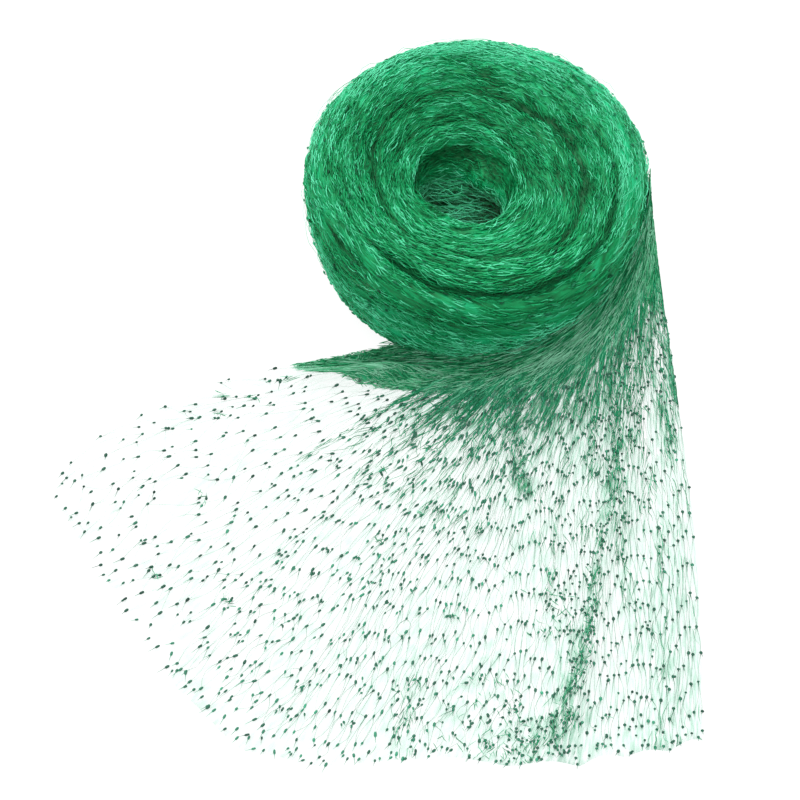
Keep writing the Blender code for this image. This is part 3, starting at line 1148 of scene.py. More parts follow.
TANGLES = (
    Tangle(0.808, 0.20, 0.824, 0.42, 0.0140, 170, 26, 0.30, 0.24),
    Tangle(0.822, 0.41, 0.800, 0.54, 0.0100, 100, 22, 0.34, 0.16),
    Tangle(0.796, 0.54, 0.780, 0.64, 0.0060, 36, 12, 0.30, 0.06),
    Tangle(0.780, 0.63, 0.765, 0.74, 0.0070, 56, 18, 0.36, 0.08),
    Tangle(0.765, 0.73, 0.722, 0.91, 0.0080, 140, 26, 0.42, 0.20),
    Tangle(0.708, 0.90, 0.718, 1.00, 0.0360, 190, 50, 0.46, 0.12),
    Tangle(0.490, 0.13, 0.580, 0.29, 0.0130, 110, 10, 0.18, 0.36),
    Tangle(0.580, 0.27, 0.650, 0.45, 0.0090, 80, 16, 0.20, 0.26),
    Tangle(0.735, 0.24, 0.770, 0.43, 0.0080, 80, 16, 0.20, 0.14),
    Tangle(0.935, 0.24, 0.962, 0.54, 0.0100, 120, 24, 0.16, 0.14),
    Tangle(0.992, 0.10, 0.985, 0.45, 0.0060, 120, 14, 0.10, 0.30),
    Tangle(0.880, 0.22, 0.880, 0.44, 0.0080, 70, 12, 0.16, 0.04),
    Tangle(0.840, 0.48, 0.850, 0.70, 0.0035, 30, 8, 0.10, 0.00),
    Tangle(0.920, 0.50, 0.908, 1.00, 0.0050, 60, 14, 0.10, 0.02),
    Tangle(0.700, 0.50, 0.700, 0.66, 0.0040, 16, 6, 0.12, 0.00),
    Tangle(0.700, 0.64, 0.715, 0.74, 0.0150, 34, 14, 0.55, 0.00),
    Tangle(0.575, 0.82, 0.605, 1.00, 0.0090, 40, 14, 0.20, 0.04),
    Tangle(0.640, 0.82, 0.680, 0.98, 0.0200, 60, 30, 0.60, 0.04),
    Tangle(0.380, 0.10, 0.430, 0.24, 0.0120, 60, 6, 0.20, 0.20),
    Tangle(0.250, 0.12, 0.310, 0.30, 0.0120, 40, 6, 0.20, 0.05),
)

GAPS = (Gap(0.866, 0.018, 0.20, 0.35), Gap(0.902, 0.018, 0.30, 0.50), Gap(0.955, 0.018, 0.25, 0.40))


def on_line(line: Crease | Tangle, along: Array, run_out: float) -> tuple[Array, Array]:
    """The middle of a crease or a tangle, and its strength, which rises and falls smoothly at its ends.

    Args:
        line: The crease or tangle; one that reaches the hem doesn't fall off there.
        along: Shares along the strands.
        run_out: How far each end is drawn out, as a share of the stretch.

    Returns:
        The middle's place across the net, and the strength from 0 to 1.
    """
    share = (along - line.starts) / (line.ends - line.starts)
    strength = smooth_step((share + run_out) / (2.0 * run_out))
    if line.ends < 1.0:
        strength = strength * smooth_step((1.0 + run_out - share) / (2.0 * run_out))
    return mix(line.from_across, line.to_across, np.clip(share, 0.0, 1.0)), strength


@dataclass(frozen=True)
class FanForm:
    """The loose end's form: guide strands from the roll's wall to the hem, their drape and their creases.

    The reach is how far from the roll the net is still packed close, at places across it.
    """

    roll: WoundForm
    standoff: float = 1.4 * MM
    drape_power: float = 2.0
    hem_length: float = 0.430
    scallop: float = 2.5 * MM
    scallops: int = 13
    run_out: float = 0.2
    sampled: int = 81
    step: float = 2.0 * MM
    probe: float = 0.01
    jitter: float = 0.006
    jitter_cells: tuple[float, float] = (26.0, 5.0)
    pull_reach: float = 2.2
    reach: Curve = Curve(
        (0.00, 0.03, 0.07, 0.11, 0.14, 0.18, 0.23)
        + (0.30, 0.40, 0.52, 0.65, 0.77, 0.86, 0.94, 1.00),
        (0.053, 0.060, 0.069, 0.070, 0.064, 0.053, 0.047)
        + (0.045, 0.045, 0.052, 0.060, 0.062, 0.056, 0.062, 0.072),
    )

    def guide(self, across: Array) -> Guide:
        """The guide strands' values between the table's rows, on a smooth curve through them.

        Args:
            across: Places across the net.

        Returns:
            One array for each of a guide's values.
        """
        table = np.array(GUIDES)
        last = len(GUIDES) - 1
        place = np.clip(across, 0.0, 1.0) * last
        row = np.minimum(place.astype(int), last - 1)
        f = (place - row)[..., None]
        a, b, c, d = (table[np.clip(row + k, 0, last)] for k in (-1, 0, 1, 2))
        bend = (2.0 * a - 5.0 * b + 4.0 * c - d) * f**2 + (3.0 * b - a - 3.0 * c + d) * f**3
        return Guide(*np.moveaxis(0.5 * (2.0 * b + (c - a) * f + bend), -1, 0))

    def creased(self, across: Array, along: Array) -> Array:
        """How far the net stands up because of its creases: the sum of a hump across each.

        Args:
            across: Places across the net.
            along: Places along it.

        Returns:
            The heights.
        """
        height = np.zeros(np.broadcast(across, along).shape)
        for crease in CREASES:
            middle, strength = on_line(crease, along, self.run_out)
            hump = bell((across - middle) * self.hem_length, crease.width)
            height = height + crease.height * strength * hump
        return height

    def bunched(self, across: Array, along: Array) -> Array:
        """Places across the net after its strands are drawn towards the creases beside them.

        Args:
            across: Places across the net.
            along: Places along it.

        Returns:
            The new places across.
        """
        down, beside = across * self.jitter_cells[0], along * self.jitter_cells[1]
        moved = across + self.jitter * NET_JITTER.read(down, beside)
        for crease in CREASES:
            middle, strength = on_line(crease, along, self.run_out)
            near = bell((across - middle) * self.hem_length, self.pull_reach * crease.width)
            moved = moved + crease.pull * strength * near * (middle - across)
        return np.clip(moved, 0.0, 1.0)

    def place(self, across: Array, along: Array, lift: Array | float = 0.0) -> Array:
        """Points of the net: in plan a strand is a cubic curve from wall to hem, and its height dies away.

        Args:
            across: Places across the net.
            along: Places along it.
            lift: How far each point lies above the net's underside.

        Returns:
            The points.
        """
        across, along = np.broadcast_arrays(across, along)
        guide = self.guide(across)
        bearing = np.radians(guide.leaves_deg)
        splayed = bearing + np.radians(guide.splay_deg)
        heading = np.radians(guide.hem_heading_deg)
        rise = quarter(guide.leaves_height / self.roll.bulge_height)
        wall = mix(self.roll.base_radius, self.roll.bulge_radius, rise) + self.standoff
        start = np.stack([wall * np.cos(bearing), wall * np.sin(bearing)], axis=-1)
        lead = start + guide.lead[..., None] * np.stack([np.sin(splayed), -np.cos(splayed)], axis=-1)
        arrival = np.stack([np.cos(heading), np.sin(heading)], axis=-1)
        hem = np.stack([guide.hem_x, guide.hem_y], axis=-1)
        hem = hem - (self.scallop * np.abs(np.sin(math.pi * self.scallops * across)))[..., None] * arrival
        trail = hem - guide.trail[..., None] * arrival
        t = along[..., None]
        back = 1.0 - t
        plan = back**3 * start + 3.0 * back**2 * t * lead + 3.0 * back * t**2 * trail + t**3 * hem
        drape = guide.leaves_height * np.maximum(1.0 - along / guide.lands, 0.0) ** self.drape_power
        height = drape + self.creased(across, along) + lift
        return np.stack([plan[..., 0] + self.roll.axis[0], plan[..., 1] + self.roll.axis[1], height], axis=-1)

    @cached_property
    def samples(self) -> Array:
        """The sampled shares, both across and along the net."""
        return np.linspace(0.0, 1.0, self.sampled)

    @cached_property
    def lengths(self) -> Array:
        """How far each sampled strand has run at each sampled share: strands by shares."""
        points = self.place(self.samples[:, None], self.samples[None, :])
        steps = np.linalg.norm(np.diff(points, axis=1), axis=-1)
        return np.concatenate([np.zeros((self.sampled, 1)), np.cumsum(steps, axis=1)], axis=1)

    @cached_property
    def shares(self) -> Array:
        """The share of its way that each sampled strand has gone at each whole step of its length."""
        distance = np.arange(0.0, self.lengths.max() + 2.0 * self.step, self.step)
        return np.stack([np.interp(distance, row, self.samples) for row in self.lengths])

    def strand_length(self, across: Array) -> Array:
        """The length of the strand at each place across the net."""
        return np.interp(across, self.samples, self.lengths[:, -1])

    def distance_at(self, across: Array, along: Array) -> Array:
        """How far a strand has run at a share of its way."""
        return look_up(self.lengths, across * (self.sampled - 1), along * (self.sampled - 1))

    def along_at(self, across: Array, distance: Array) -> Array:
        """The share of its way at which a strand has run a distance."""
        return look_up(self.shares, across * (self.sampled - 1), distance / self.step)

    def width(self, across: Array, along: Array) -> Array:
        """How many metres wide the net is there, for one whole share across.

        Args:
            across: Places across the net.
            along: Places along it.

        Returns:
            The widths.
        """
        low, high = np.maximum(across - self.probe, 0.0), np.minimum(across + self.probe, 1.0)
        apart = np.linalg.norm(self.place(high, along) - self.place(low, along), axis=-1)
        return apart / (high - low)


class KnotRow(NamedTuple):
    """Knots as arrays: their places across and along, their sizes, and how far they are turned."""

    across: Array
    along: Array
    size: Array
    turned: Array


class Hair(NamedTuple):
    """Loose strands as arrays: where each one's middle lies, its length, its lean and how high it lies."""

    across: Array
    distance: Array
    length: Array
    lean: Array
    lift: Array


@dataclass
class LooseEnd:
    """The loose end: haze, knots, threads, and the strands packed at the roll, radiating and snarled."""

    form: FanForm
    mesh_bar: float = 15.0 * MM
    spacing: Curve = Curve((0.0, 0.22, 0.5, 1.0), (8.6 * MM, 7.31 * MM, 3.9 * MM, 2.75 * MM))
    looseness: Curve = Curve((0.0, 0.35, 0.6, 1.0), (1.0, 0.9, 0.70, 0.30))
    dip: Curve = Curve((0.2, 0.45, 0.8), (0.15, 0.42, 0.80))
    first_row: float = 0.55
    row_sway: float = 0.50
    row_scatter: float = 0.21
    column_scatter: float = 0.60
    dip_rows: float = 5.0
    hem_clear: float = 0.2
    crease_across: float = 0.79
    left_lobe: float = 0.080
    right_lobe: float = 0.118
    haze_across: int = 130
    haze_along: int = 76
    haze_crowding: float = 1.35
    haze_lift: float = 0.4 * MM
    haze_thickness: float = 0.15 * MM
    packed_to: float = 1.02
    packed_softened: float = 0.9
    ragged: float = 22.0 * MM
    softness: Curve = Curve((0.22, 0.46), (0.10, 0.40))
    fringe: Rise = Rise(1.80, -0.85, 0.30)
    fringe_from: Rise = Rise(0.20, 0.20)
    tangle_run_out: float = 0.15
    veil_reach: float = 1.3
    veil_mottle: float = 0.8
    broad_mottle: float = 0.5
    gap_run_out: float = 0.04
    gap_edge: float = 1.6
    broad_veil: Curve = Curve((0.0, 0.35, 0.7, 1.0), (0.040, 0.050, 0.090, 0.125))
    second_knots: int = 520
    second_bar: float = 1.04
    second_on_left: float = 0.32
    second_left: float = 0.60
    second_right: tuple[float, float] = (0.35, 0.90)
    second_along: tuple[float, float] = (0.30, 0.99)
    hem_back: float = 9.0 * MM
    knot_lift: tuple[float, float] = (0.7 * MM, 1.6 * MM)
    knot_tone: tuple[float, float] = (0.28, 0.14)
    knot_half: Curve = Curve((0.0, 0.2, 0.45, 0.75, 1.0), (0.82, 0.90, 1.05, 0.68, 0.62))
    knot_radius: Curve = Curve((0.0, 0.3, 0.5, 0.75, 1.0), (0.72, 0.66, 0.55, 0.64, 0.70))
    knot_tail: Curve = Curve((0.0, 0.4, 0.75, 1.0), (3.0, 3.2, 1.8, 1.2))
    bar_stations: int = 5
    bar_sag: float = 0.0036
    bar_lift: float = 0.7 * MM
    bar_tone: tuple[float, float] = (0.42, 0.16)
    bar_end_dark: float = 0.20
    bar_radius: Curve = Curve((0.0, 0.25, 0.5, 1.0), (0.020 * MM, 0.027 * MM, 0.044 * MM, 0.055 * MM))
    packed_count: int = 5600
    pile: float = 6.5 * MM
    packed_length: tuple[float, float] = (3.0 * MM, 8.0 * MM)
    packed_lift: tuple[float, float] = (0.6 * MM, 1.4 * MM)
    packed_thickness: tuple[float, float] = (0.36 * MM, 0.64 * MM)
    packed_tone: tuple[float, float] = (0.60, 0.20)
    packed_stroke: float = 4.5 * MM
    packed_stroke_tone: float = 0.28
    packed_mottle: float = 7.0 * MM
    packed_mottle_tone: float = 0.26
    packed_outline: Curve = Curve((0.0, 0.2, 0.8, 1.0), (0.4, 1.0, 1.0, 0.3))
    radiating_count: int = 2350
    radiating_length: tuple[float, float] = (5.0 * MM, 14.0 * MM)
    radiating_lift: tuple[float, float] = (0.6 * MM, 1.8 * MM)
    radiating_thickness: tuple[float, float] = (0.38 * MM, 0.74 * MM)
    gathered_tone: tuple[float, float] = (0.50, 0.20)
    radiating_outline: Curve = Curve((0.0, 0.15, 0.6, 1.0), (0.5, 1.0, 0.8, 0.2))
    locks: int = 120
    snarls: int = 12
    snarl_size: float = 5.5 * MM
    tufts: int = 6
    in_tufts: float = 0.6
    frayed: float = 0.22
    snarled_length: tuple[float, float] = (4.0 * MM, 13.0 * MM)
    snarl_length: tuple[float, float] = (2.5 * MM, 5.5 * MM)
    snarled_lift: tuple[float, float] = (0.6 * MM, 2.2 * MM)
    snarled_thickness: tuple[float, float] = (0.20 * MM, 0.50 * MM)
    snarled_outline: Curve = Curve((0.0, 0.2, 0.7, 1.0), (0.3, 1.0, 0.9, 0.25))

    @cached_property
    def columns(self) -> Array:
        """Where the mesh's columns lie across the net: they crowd together from left to right."""
        share = np.linspace(0.0, 1.0, 400)
        steps = np.linalg.norm(np.diff(self.form.place(share, np.ones_like(share)), axis=0), axis=-1)
        count = np.append(0.0, np.cumsum(steps / self.spacing.at(0.5 * (share[1:] + share[:-1]))))
        return np.interp(np.linspace(0.0, count[-1], 2 * int(count[-1]) + 1), count, share)

    @cached_property
    def knots(self) -> tuple[Array, Array, Array]:
        """The mesh's knots, rows by columns: their place across, their share along, and which are there."""
        columns = (len(self.columns) - 1) // 2
        rows = int(self.form.lengths.max() / self.mesh_bar) + 2
        row, column = np.meshgrid(np.arange(rows), np.arange(columns), indexing="ij")
        place = np.minimum(2 * column + row % 2 + column // (columns - 1), len(self.columns) - 1)
        across, gap = self.columns[place], np.gradient(self.columns)[place]
        rng = np.random.default_rng(61)
        loose = self.looseness.at(across)
        beyond = across - self.crease_across
        lobe = beyond / np.where(beyond > 0.0, self.right_lobe, self.left_lobe)
        dipped = self.dip.at(across) * np.abs(np.sin(math.pi * lobe)) * np.clip(row / self.dip_rows, 0.0, 1.0)
        sway = self.row_sway * ROW_SWAY.read(row * 0.6, column * 0.20)
        uneven = sway + rng.normal(0.0, self.row_scatter, row.shape)
        distance = (row + self.first_row - dipped + uneven * loose) * self.mesh_bar
        moved = rng.normal(0.0, self.column_scatter, row.shape) * gap * loose
        across = np.clip(across + moved, 0.0, 1.0)
        there = distance <= self.form.strand_length(across) - self.hem_clear * self.mesh_bar
        return across, self.form.along_at(across, np.maximum(distance, 1.0 * MM)), there

    def haze(self) -> Piece:
        """The haze of thread too fine to make singly: a thin closed sheet on the fan's form.

        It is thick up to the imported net's ragged edge, fringed beyond it, sheer on the tangles, faint
        elsewhere, least at the left, and open at the gaps.

        Returns:
            The piece.
        """
        across = np.linspace(0.0, 1.0, self.haze_across)[None, :]
        along = np.linspace(0.0, 1.0, self.haze_along)[:, None] ** self.haze_crowding
        distance = self.form.distance_at(across, along)
        soft = self.softness.at(across)
        reach = self.form.reach.at(across)
        reach = reach + self.ragged * soft * PACKED_EDGE.read(across * 60.0, distance / self.ragged)
        close = (self.packed_to - self.packed_softened * soft) * reach
        tone = 1.0 - smooth_step((distance - close) / (soft * reach))
        veil = self.fringe.at(distance / reach) * self.fringe_from.at(across)
        for tangle in TANGLES:
            middle, inside = on_line(tangle, along, self.tangle_run_out)
            near = bell((across - middle) * self.form.hem_length, self.veil_reach * tangle.width)
            veil = np.maximum(veil, tangle.veil * inside * near)
        veil = veil * (1.0 + self.veil_mottle * VEIL_MOTTLE.read(distance / (9.0 * MM), across * 55.0))
        mottle = 1.0 + self.broad_mottle * HAZE_MOTTLE.read(along * 9.0, across * 40.0)
        tone = np.maximum(tone, veil + self.broad_veil.at(across) * mottle)
        for gap in GAPS:
            open_along = smooth_step((along - gap.starts) / self.gap_run_out)
            open_along = open_along * smooth_step((gap.ends - along) / self.gap_run_out)
            inside = smooth_step(self.gap_edge - np.abs(across - gap.across) / (0.5 * gap.width))
            tone = tone * (1.0 - open_along * inside)
        cloth = np.stack(np.broadcast_arrays(across * self.form.hem_length, distance), axis=-1)
        surface = skin(self.form.place(across, along, self.haze_lift), tone, closed=False)
        piece = surface.put("fan_haze", HAZE, Slot.LOOSE, cells(cloth))
        solid = piece.modifiers.new("thin", "SOLIDIFY")
        solid.thickness = self.haze_thickness
        solid.offset = 0.0
        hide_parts("loose_end")
        return piece

    def laid(self, across: Array, along: Array, lift: Array | float) -> Array:
        """Points on the net after its strands are bunched at the creases, lifted off its underside."""
        return self.form.place(self.form.bunched(across, along), along, lift)

    def second_layer(self) -> KnotRow:
        """More knots where the net lies double: a third on its left, the rest in the middle and right.

        Returns:
            The knots, in rows a little further apart than the mesh's own.
        """
        rng = np.random.default_rng(68)
        count, row = self.second_knots, self.second_bar * self.mesh_bar
        left = rng.beta(1.5, 1.3, count) * self.second_left
        on_left = rng.random(count) < self.second_on_left
        across = np.where(on_left, left, rng.uniform(*self.second_right, count))
        length = self.form.strand_length(across)
        rows = np.round(rng.uniform(*self.second_along, count) * length / row)
        rows = rows + rng.normal(0.0, 0.17, count)
        along = self.form.along_at(across, np.minimum(rows * row, length - 1.0 * MM))
        return KnotRow(across, along, rng.uniform(0.75, 1.05, count), rng.normal(0.0, 0.3, count))

    def hem_row(self) -> KnotRow:
        """The knots right at the hem, one for each of the mesh's columns.

        Returns:
            The knots.
        """
        rng = np.random.default_rng(69)
        columns = self.columns[::2]
        count = len(columns)
        across = np.clip(columns + rng.normal(0.0, 0.002, count), 0.0, 1.0)
        back = rng.random(count) ** 1.5 * self.hem_back
        along = self.form.along_at(across, self.form.strand_length(across) - back)
        return KnotRow(across, along, rng.uniform(0.85, 1.15, count), rng.normal(0.0, 0.3, count))

    @cached_property
    def clumps(self) -> tuple[Array, Array]:
        """Where the small snarls lie: scattered over the open net, fewer towards its right."""
        rng = np.random.default_rng(70)
        return 0.03 + rng.beta(1.2, 1.5, self.snarls) * 0.72, rng.uniform(0.28, 0.94, self.snarls)

    def snarled_knots(self) -> KnotRow:
        """The knots caught in the tangles and in the small snarls.

        Returns:
            The knots.
        """
        rng = np.random.default_rng(71)
        across, along = [], []
        for tangle in TANGLES:
            share = rng.random(tangle.knots)
            middle, place = (mix(*ends, share) for ends in (tangle[0:3:2], tangle[1:4:2]))
            off = rng.normal(0.0, 0.45 * tangle.width, tangle.knots)
            across.append(middle + off / self.form.width(middle, place))
            along.append(place)
        for centre, place in zip(*self.clumps):
            off, ahead = rng.normal(0.0, 0.4 * self.snarl_size, (2, 2))
            across.append(centre + off / self.form.width(centre, place))
            along.append(place + ahead / self.form.strand_length(centre))
        across, along = (np.clip(np.concatenate(part), 0.0, 1.0) for part in (across, along))
        return KnotRow(across, along, rng.uniform(0.8, 1.2, len(across)), rng.normal(0.0, 0.7, len(across)))

    def knot_surface(self) -> Surface:
        """All the knots: spindles along the strands, round at the head, with a pale fine tail to the hem.

        Returns:
            The knots' surface.
        """
        across, along, there = self.knots
        rng = np.random.default_rng(64)
        count = int(there.sum())
        sizes = rng.uniform(0.85, 1.2, count)
        mesh = KnotRow(across[there], along[there], sizes, rng.normal(0.0, 0.28, count))
        layers = (mesh, self.second_layer(), self.hem_row(), self.snarled_knots())
        across, along, size, turned = (np.concatenate(part) for part in zip(*layers))
        clear = self.form.distance_at(across, along) > 0.95 * self.form.reach.at(across)
        across, along, size, turned = (part[clear, None] for part in (across, along, size, turned))
        one = across.shape
        lift = rng.uniform(*self.knot_lift, one)
        ahead, behind = np.minimum(along + 0.02, 1.0), np.maximum(along - 0.02, 0.0)
        way = unit(self.laid(across, ahead, lift) - self.laid(across, behind, lift))
        square = np.stack([-way[..., 1], way[..., 0], np.zeros(one)], axis=-1)
        level = way * np.array([1.0, 1.0, 0.0])
        way = way - level + level * np.cos(turned)[..., None] + square * np.sin(turned)[..., None]
        drawn = 1.0 + 0.5 * smooth_step((0.55 - along) / 0.25) * bell(across - 0.45, 0.50)
        half = self.knot_half.at(across) * rng.uniform(0.75, 1.3, one) * drawn
        tail = self.knot_tail.at(across) * rng.uniform(0.3, 1.2, one)
        place = np.concatenate([-half, -0.55 * half, 0.50 * half, half + 0.1, half + tail], axis=1)
        paths = self.laid(across, along, lift) + (MM * size * place)[..., None] * way
        paths[..., 2] = np.maximum(paths[..., 2], 0.5 * MM)
        radii = MM * size * self.knot_radius.at(across) * np.array([0.45, 1.0, 1.0, 0.22, 0.09])
        tone = rng.normal(*self.knot_tone, one) + np.array([0.1, 0.0, 0.0, 0.2, 0.5])
        tone = tone + 0.13 * smooth_step((across - 0.20) / 0.30) + 0.14 * bell(across - 0.45, 0.40)
        return tubes(paths, radii, tone, sides=4)

    def bars(self) -> Surface:
        """The mesh's bars: threads, thinnest midway, tie each knot to the two beside it in the next row.

        Returns:
            The threads' surface.
        """
        across, along, there = self.knots
        rng = np.random.default_rng(65)
        left = np.arange(across.shape[1])
        ends = []
        for row in range(across.shape[0] - 1):
            for step in (0, 1 if row % 2 else -1):
                here = left[(left + step >= 0) & (left + step < across.shape[1])]
                here = here[there[row, here] & there[row + 1, here + step]]
                tied = ((row, here), (row + 1, here + step))
                ends.append(np.stack([part[knot] for knot in tied for part in (across, along)]))
        ends = (part[:, None] for part in np.concatenate(ends, axis=1))
        from_across, from_along, to_across, to_along = ends
        one = from_across.shape
        share = np.linspace(0.0, 1.0, self.bar_stations)[None, :]
        sag = rng.normal(0.0, self.bar_sag, one) * np.sin(math.pi * share)
        middle = mix(from_across, to_across, share) + sag
        paths = self.laid(middle, mix(from_along, to_along, share), self.bar_lift)
        thin = self.bar_radius.at(from_across) * rng.uniform(0.7, 1.3, one)
        radii = thin * (1.0 + 1.6 * (1.0 - share) ** 4 + 0.5 * share**4)
        tone = rng.normal(*self.bar_tone, one) - self.bar_end_dark * np.abs(2.0 * share - 1.0) ** 4
        return tubes(paths, radii, tone)

    def strands(
        self,
        rng: np.random.Generator,
        hair: Hair,
        stations: int,
        thickness: tuple[float, float],
        outline: Curve,
    ) -> tuple[Array, Array]:
        """Loose strands on the net: each runs along it, leans off its way, and waves.

        Args:
            rng: The source of the waves and thicknesses.
            hair: Where the strands lie.
            stations: The points on each strand.
            thickness: The least and the greatest thickness of a strand.
            outline: Its share of that along its length.

        Returns:
            The points, strands by stations by three, and the radii.
        """
        one = hair.across.shape
        share = np.linspace(-0.5, 0.5, stations)[None, :]
        beat = rng.uniform(7.0 * MM, 16.0 * MM, one)
        wave = rng.uniform(0.2 * MM, 1.0 * MM, one)
        forward = hair.length * share / np.sqrt(1.0 + hair.lean**2)
        off = hair.lean * forward + wave * np.sin(TURN * (hair.length * share / beat + rng.random(one)))
        distance = np.clip(hair.distance + forward, 0.3 * MM, None)
        along = self.form.along_at(hair.across, distance)
        place = np.clip(hair.across + off / self.form.width(hair.across, along), 0.0, 1.0)
        paths = self.laid(place, self.form.along_at(place, distance), hair.lift)
        return paths, 0.5 * rng.uniform(*thickness, one) * outline.at(share + 0.5)

    def packed(self) -> Surface:
        """The strands packed close where the net leaves the roll: matted, with a ragged edge.

        Returns:
            The strands' surface.
        """
        rng = np.random.default_rng(66)
        one = (self.packed_count, 1)
        left = rng.uniform(0.0, 0.20, one)
        across = np.where(rng.random(one) < 0.20, left, rng.random(one))
        across = np.where(rng.random(one) < 0.10, rng.uniform(0.92, 1.0, one), across)
        reach = self.form.reach.at(across)
        length = rng.uniform(*self.packed_length, one)
        distance = rng.random(one) * (reach + 2.0 * MM) - 0.30 * length
        thinned = 0.6 * smooth_step((distance / reach - 0.62) / 0.40) * smooth_step((across - 0.25) / 0.15)
        kept = (rng.random(one) > thinned)[:, 0]
        across, distance, reach, length = across[kept], distance[kept], reach[kept], length[kept]
        one = across.shape
        fall = np.clip(1.0 - distance / (1.2 * reach), 0.0, 1.0)
        pile = self.pile * np.exp(-np.maximum(distance, 0.0) / (14.0 * MM)) + 1.5 * MM * fall
        lift = rng.uniform(*self.packed_lift, one) + rng.random(one) ** 1.5 * pile
        inside = smooth_step(across / 0.12) * smooth_step((1.0 - across) / 0.14)
        around = -(0.5 + 2.2 * smooth_step(1.4 * fall)) * inside
        turned = np.arctan(around) + (0.40 + 0.30 * fall) * rng.normal(0.0, 1.0, one)
        hair = Hair(across, distance, length, np.tan(np.clip(turned, -1.50, 1.30)), lift)
        paths, radii = self.strands(rng, hair, 5, self.packed_thickness, self.packed_outline)
        share = np.linspace(0.0, 1.0, paths.shape[1])[None, :]
        strokes = FAN_STROKES.strokes(share * length / self.packed_stroke, rng)
        pale = bell(across - 0.60, 0.40) + 0.25 * bell(across - 0.06, 0.20)
        pale = 0.40 * pale * smooth_step((distance / reach - 0.30) / 0.40)
        mottle = self.packed_mottle_tone * FAN_MOTTLE.read(distance / self.packed_mottle, 34.0 * across)
        tone = rng.normal(*self.packed_tone, one) + self.packed_stroke_tone * strokes
        tone = tone + 0.10 * (1.0 - fall) + pale + mottle
        return tubes(paths, radii, tone)

    def radiating(self) -> Surface:
        """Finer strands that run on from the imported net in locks, and thin out, with gaps between them.

        Returns:
            The strands' surface.
        """
        rng = np.random.default_rng(67)
        one = (self.radiating_count, 1)
        locks = 0.24 + 0.76 * rng.beta(1.15, 1.15, self.locks)
        spread = rng.uniform(0.6, 1.5, self.locks)
        lock = rng.integers(0, self.locks, one)
        across = np.clip(locks[lock] + rng.normal(0.0, 0.0022, one), 0.0, 1.0)
        outward = np.minimum(rng.exponential(0.50, one) * spread[lock], 1.7)
        outward = outward * (1.0 + 1.3 * smooth_step((across - 0.80) / 0.10))
        length = rng.uniform(*self.radiating_length, one)
        lean = rng.normal(0.0, 0.14, self.locks)[lock] + rng.normal(0.0, 0.16, one)
        lift = rng.uniform(*self.radiating_lift, one)
        hair = Hair(across, self.form.reach.at(across) * (0.78 + outward), length, lean, lift)
        paths, radii = self.strands(rng, hair, 7, self.radiating_thickness, self.radiating_outline)
        radii = radii * np.exp(-0.35 * np.minimum(outward, 1.6))
        return tubes(paths, radii, rng.normal(*self.gathered_tone, one))

    def snarled(self) -> Surface:
        """The strands caught in the tangles, drawn into tufts, and the short threads of the small snarls.

        Returns:
            The strands' surface.
        """
        rng = np.random.default_rng(72)
        rows = np.repeat(np.array(TANGLES), [tangle.strands for tangle in TANGLES], axis=0)
        table = Tangle(*(column[:, None] for column in rows.T))
        one = table.width.shape
        tufts = (rng.integers(0, self.tufts, one) + 0.5) / self.tufts
        tufted = rng.random(one) < self.in_tufts
        share = np.where(tufted, tufts + rng.normal(0.0, 0.045, one), rng.random(one))
        share = np.clip(share, 0.0, 1.0)
        along = mix(table.starts, table.ends, share)
        across = mix(table.from_across, table.to_across, share)
        run = (table.to_across - table.from_across) * self.form.width(across, along)
        run = run / ((table.ends - table.starts) * self.form.strand_length(across))
        sway = 0.45 * table.width * TANGLE_SWAY.read(34.0 * along, 7.0 * across)
        frayed = np.where(rng.random(one) < self.frayed, 2.2, 1.0)
        off = sway + rng.normal(0.0, 0.32 * table.width, one) * frayed
        across = across + off / self.form.width(across, along)
        lean = run + rng.normal(0.0, 1.0, one) * table.stray * frayed
        length = rng.uniform(*self.snarled_length, one) * (1.0 - 0.5 * smooth_step(table.stray / 0.5))
        centres, places = (np.repeat(part, 6)[:, None] for part in self.clumps)
        small = centres.shape
        centres = centres + rng.normal(0.0, 0.3 * self.snarl_size, small) / self.form.width(centres, places)
        across = np.clip(np.concatenate([across, centres]), 0.0, 1.0)
        along = np.clip(np.concatenate([along, places]), 0.0, 1.0)
        lean = np.concatenate([lean, rng.normal(0.0, 1.2, small)])
        length = np.concatenate([length, rng.uniform(*self.snarl_length, small)])
        lift = rng.uniform(*self.snarled_lift, across.shape)
        hair = Hair(across, self.form.distance_at(across, along), length, lean, lift)
        paths, radii = self.strands(rng, hair, 7, self.snarled_thickness, self.snarled_outline)
        return tubes(paths, radii, rng.normal(*self.gathered_tone, across.shape))

    def build(self) -> list[Piece]:
        """Makes the loose end's pieces.

        Returns:
            The pieces.
        """
        haze = self.haze()
        details = [
            self.bars().put("fan_threads", NET_THREAD, Slot.LOOSE),
            self.knot_surface().put("fan_knots", NET_KNOT, Slot.LOOSE),
            self.packed().put("fan_packed_strands", SHEER_STRAND, Slot.LOOSE),
            self.radiating().put("fan_radiating_strands", GATHERED, Slot.LOOSE),
            self.snarled().put("fan_snarls", GATHERED, Slot.LOOSE),
        ]
        return [haze, *details]


# The studio


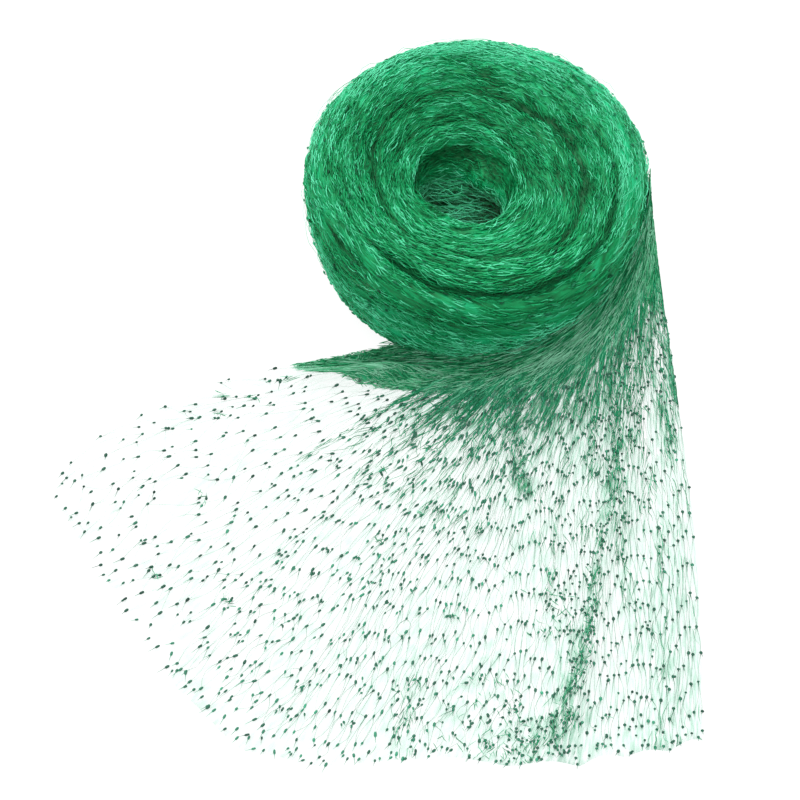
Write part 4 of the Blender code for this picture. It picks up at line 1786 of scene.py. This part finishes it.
@dataclass
class Studio:
    """A plain pale floor, soft light and the camera, which aims beside the roll's axis."""

    pitch_deg: float = 57.0
    lens_mm: float = 85.0
    sensor_mm: float = 36.0
    distance: float = 0.97
    aim_from_axis: tuple[float, float] = (-0.0389, -0.098)
    floor_side: float = 6.0
    floor_grey: float = 0.10
    floor_glow: float = 0.92
    sky_strength: float = 1.25
    lamp_side: float = 2.4
    lamp_power: float = 60.0
    lamp_place: Colour = (-0.3, 0.7, 2.0)

    def floor(self) -> None:
        """Lays the floor, a lit white table: one large square just under the object."""
        bpy.ops.mesh.primitive_plane_add(size=self.floor_side, location=(0.0, 0.0, -0.1 * MM))
        floor = bpy.context.object
        floor.name = "floor"
        nodes = Nodes("pale_floor")
        look = {
            "Base Color": (self.floor_grey, self.floor_grey, self.floor_grey, 1.0),
            "Roughness": 0.9,
            "Specular IOR Level": 0.1,
            "Emission Color": (1.0, 1.0, 1.0, 1.0),
            "Emission Strength": self.floor_glow,
        }
        nodes.feed(nodes.shader, look)
        floor.data.materials.append(nodes.material)

    def light(self) -> None:
        """Hangs a square soft light that faces the middle of the floor, under a white sky."""
        scene = bpy.context.scene
        lamp = bpy.data.lights.new("key_light", "AREA")
        lamp.size = self.lamp_side
        lamp.energy = self.lamp_power
        holder = bpy.data.objects.new("key_light", lamp)
        scene.collection.objects.link(holder)
        holder.location = self.lamp_place
        holder.rotation_euler = holder.location.to_track_quat("Z", "Y").to_euler()
        scene.world = bpy.data.worlds.new("room")
        scene.world.use_nodes = True
        sky = scene.world.node_tree.nodes["Background"]
        sky.inputs["Color"].default_value = (1.0, 1.0, 1.0, 1.0)
        sky.inputs["Strength"].default_value = self.sky_strength

    def build(self, roll: WoundForm) -> None:
        """Sets the floor, lights and camera.

        Args:
            roll: The roll's form, whose axis the camera's aim is measured from.
        """
        self.floor()
        self.light()
        scene = bpy.context.scene
        pitch = math.radians(self.pitch_deg)
        aim = (roll.axis[0] + self.aim_from_axis[0], roll.axis[1] + self.aim_from_axis[1])
        lens = bpy.data.cameras.new("camera")
        lens.lens = self.lens_mm
        lens.sensor_width = self.sensor_mm
        camera = bpy.data.objects.new("camera", lens)
        scene.collection.objects.link(camera)
        camera.location = (aim[0], aim[1] - self.distance * math.cos(pitch), self.distance * math.sin(pitch))
        camera.rotation_euler = (0.5 * math.pi - pitch, 0.0, 0.0)
        scene.camera = camera
        scene.view_settings.view_transform = "Standard"


def main() -> None:
    """Builds the roll, its loose end and the studio; each piece's triangles and the count of pieces are
    logged.
    """
    logging.basicConfig(level=logging.INFO, format="%(message)s")
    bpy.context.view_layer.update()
    form = WoundForm()
    Studio().build(form)
    pieces = WoundRoll(form).build() + LooseEnd(FanForm(form)).build()
    LOG.info("%d pieces", len(pieces))


if __name__ == "__main__":
    main()
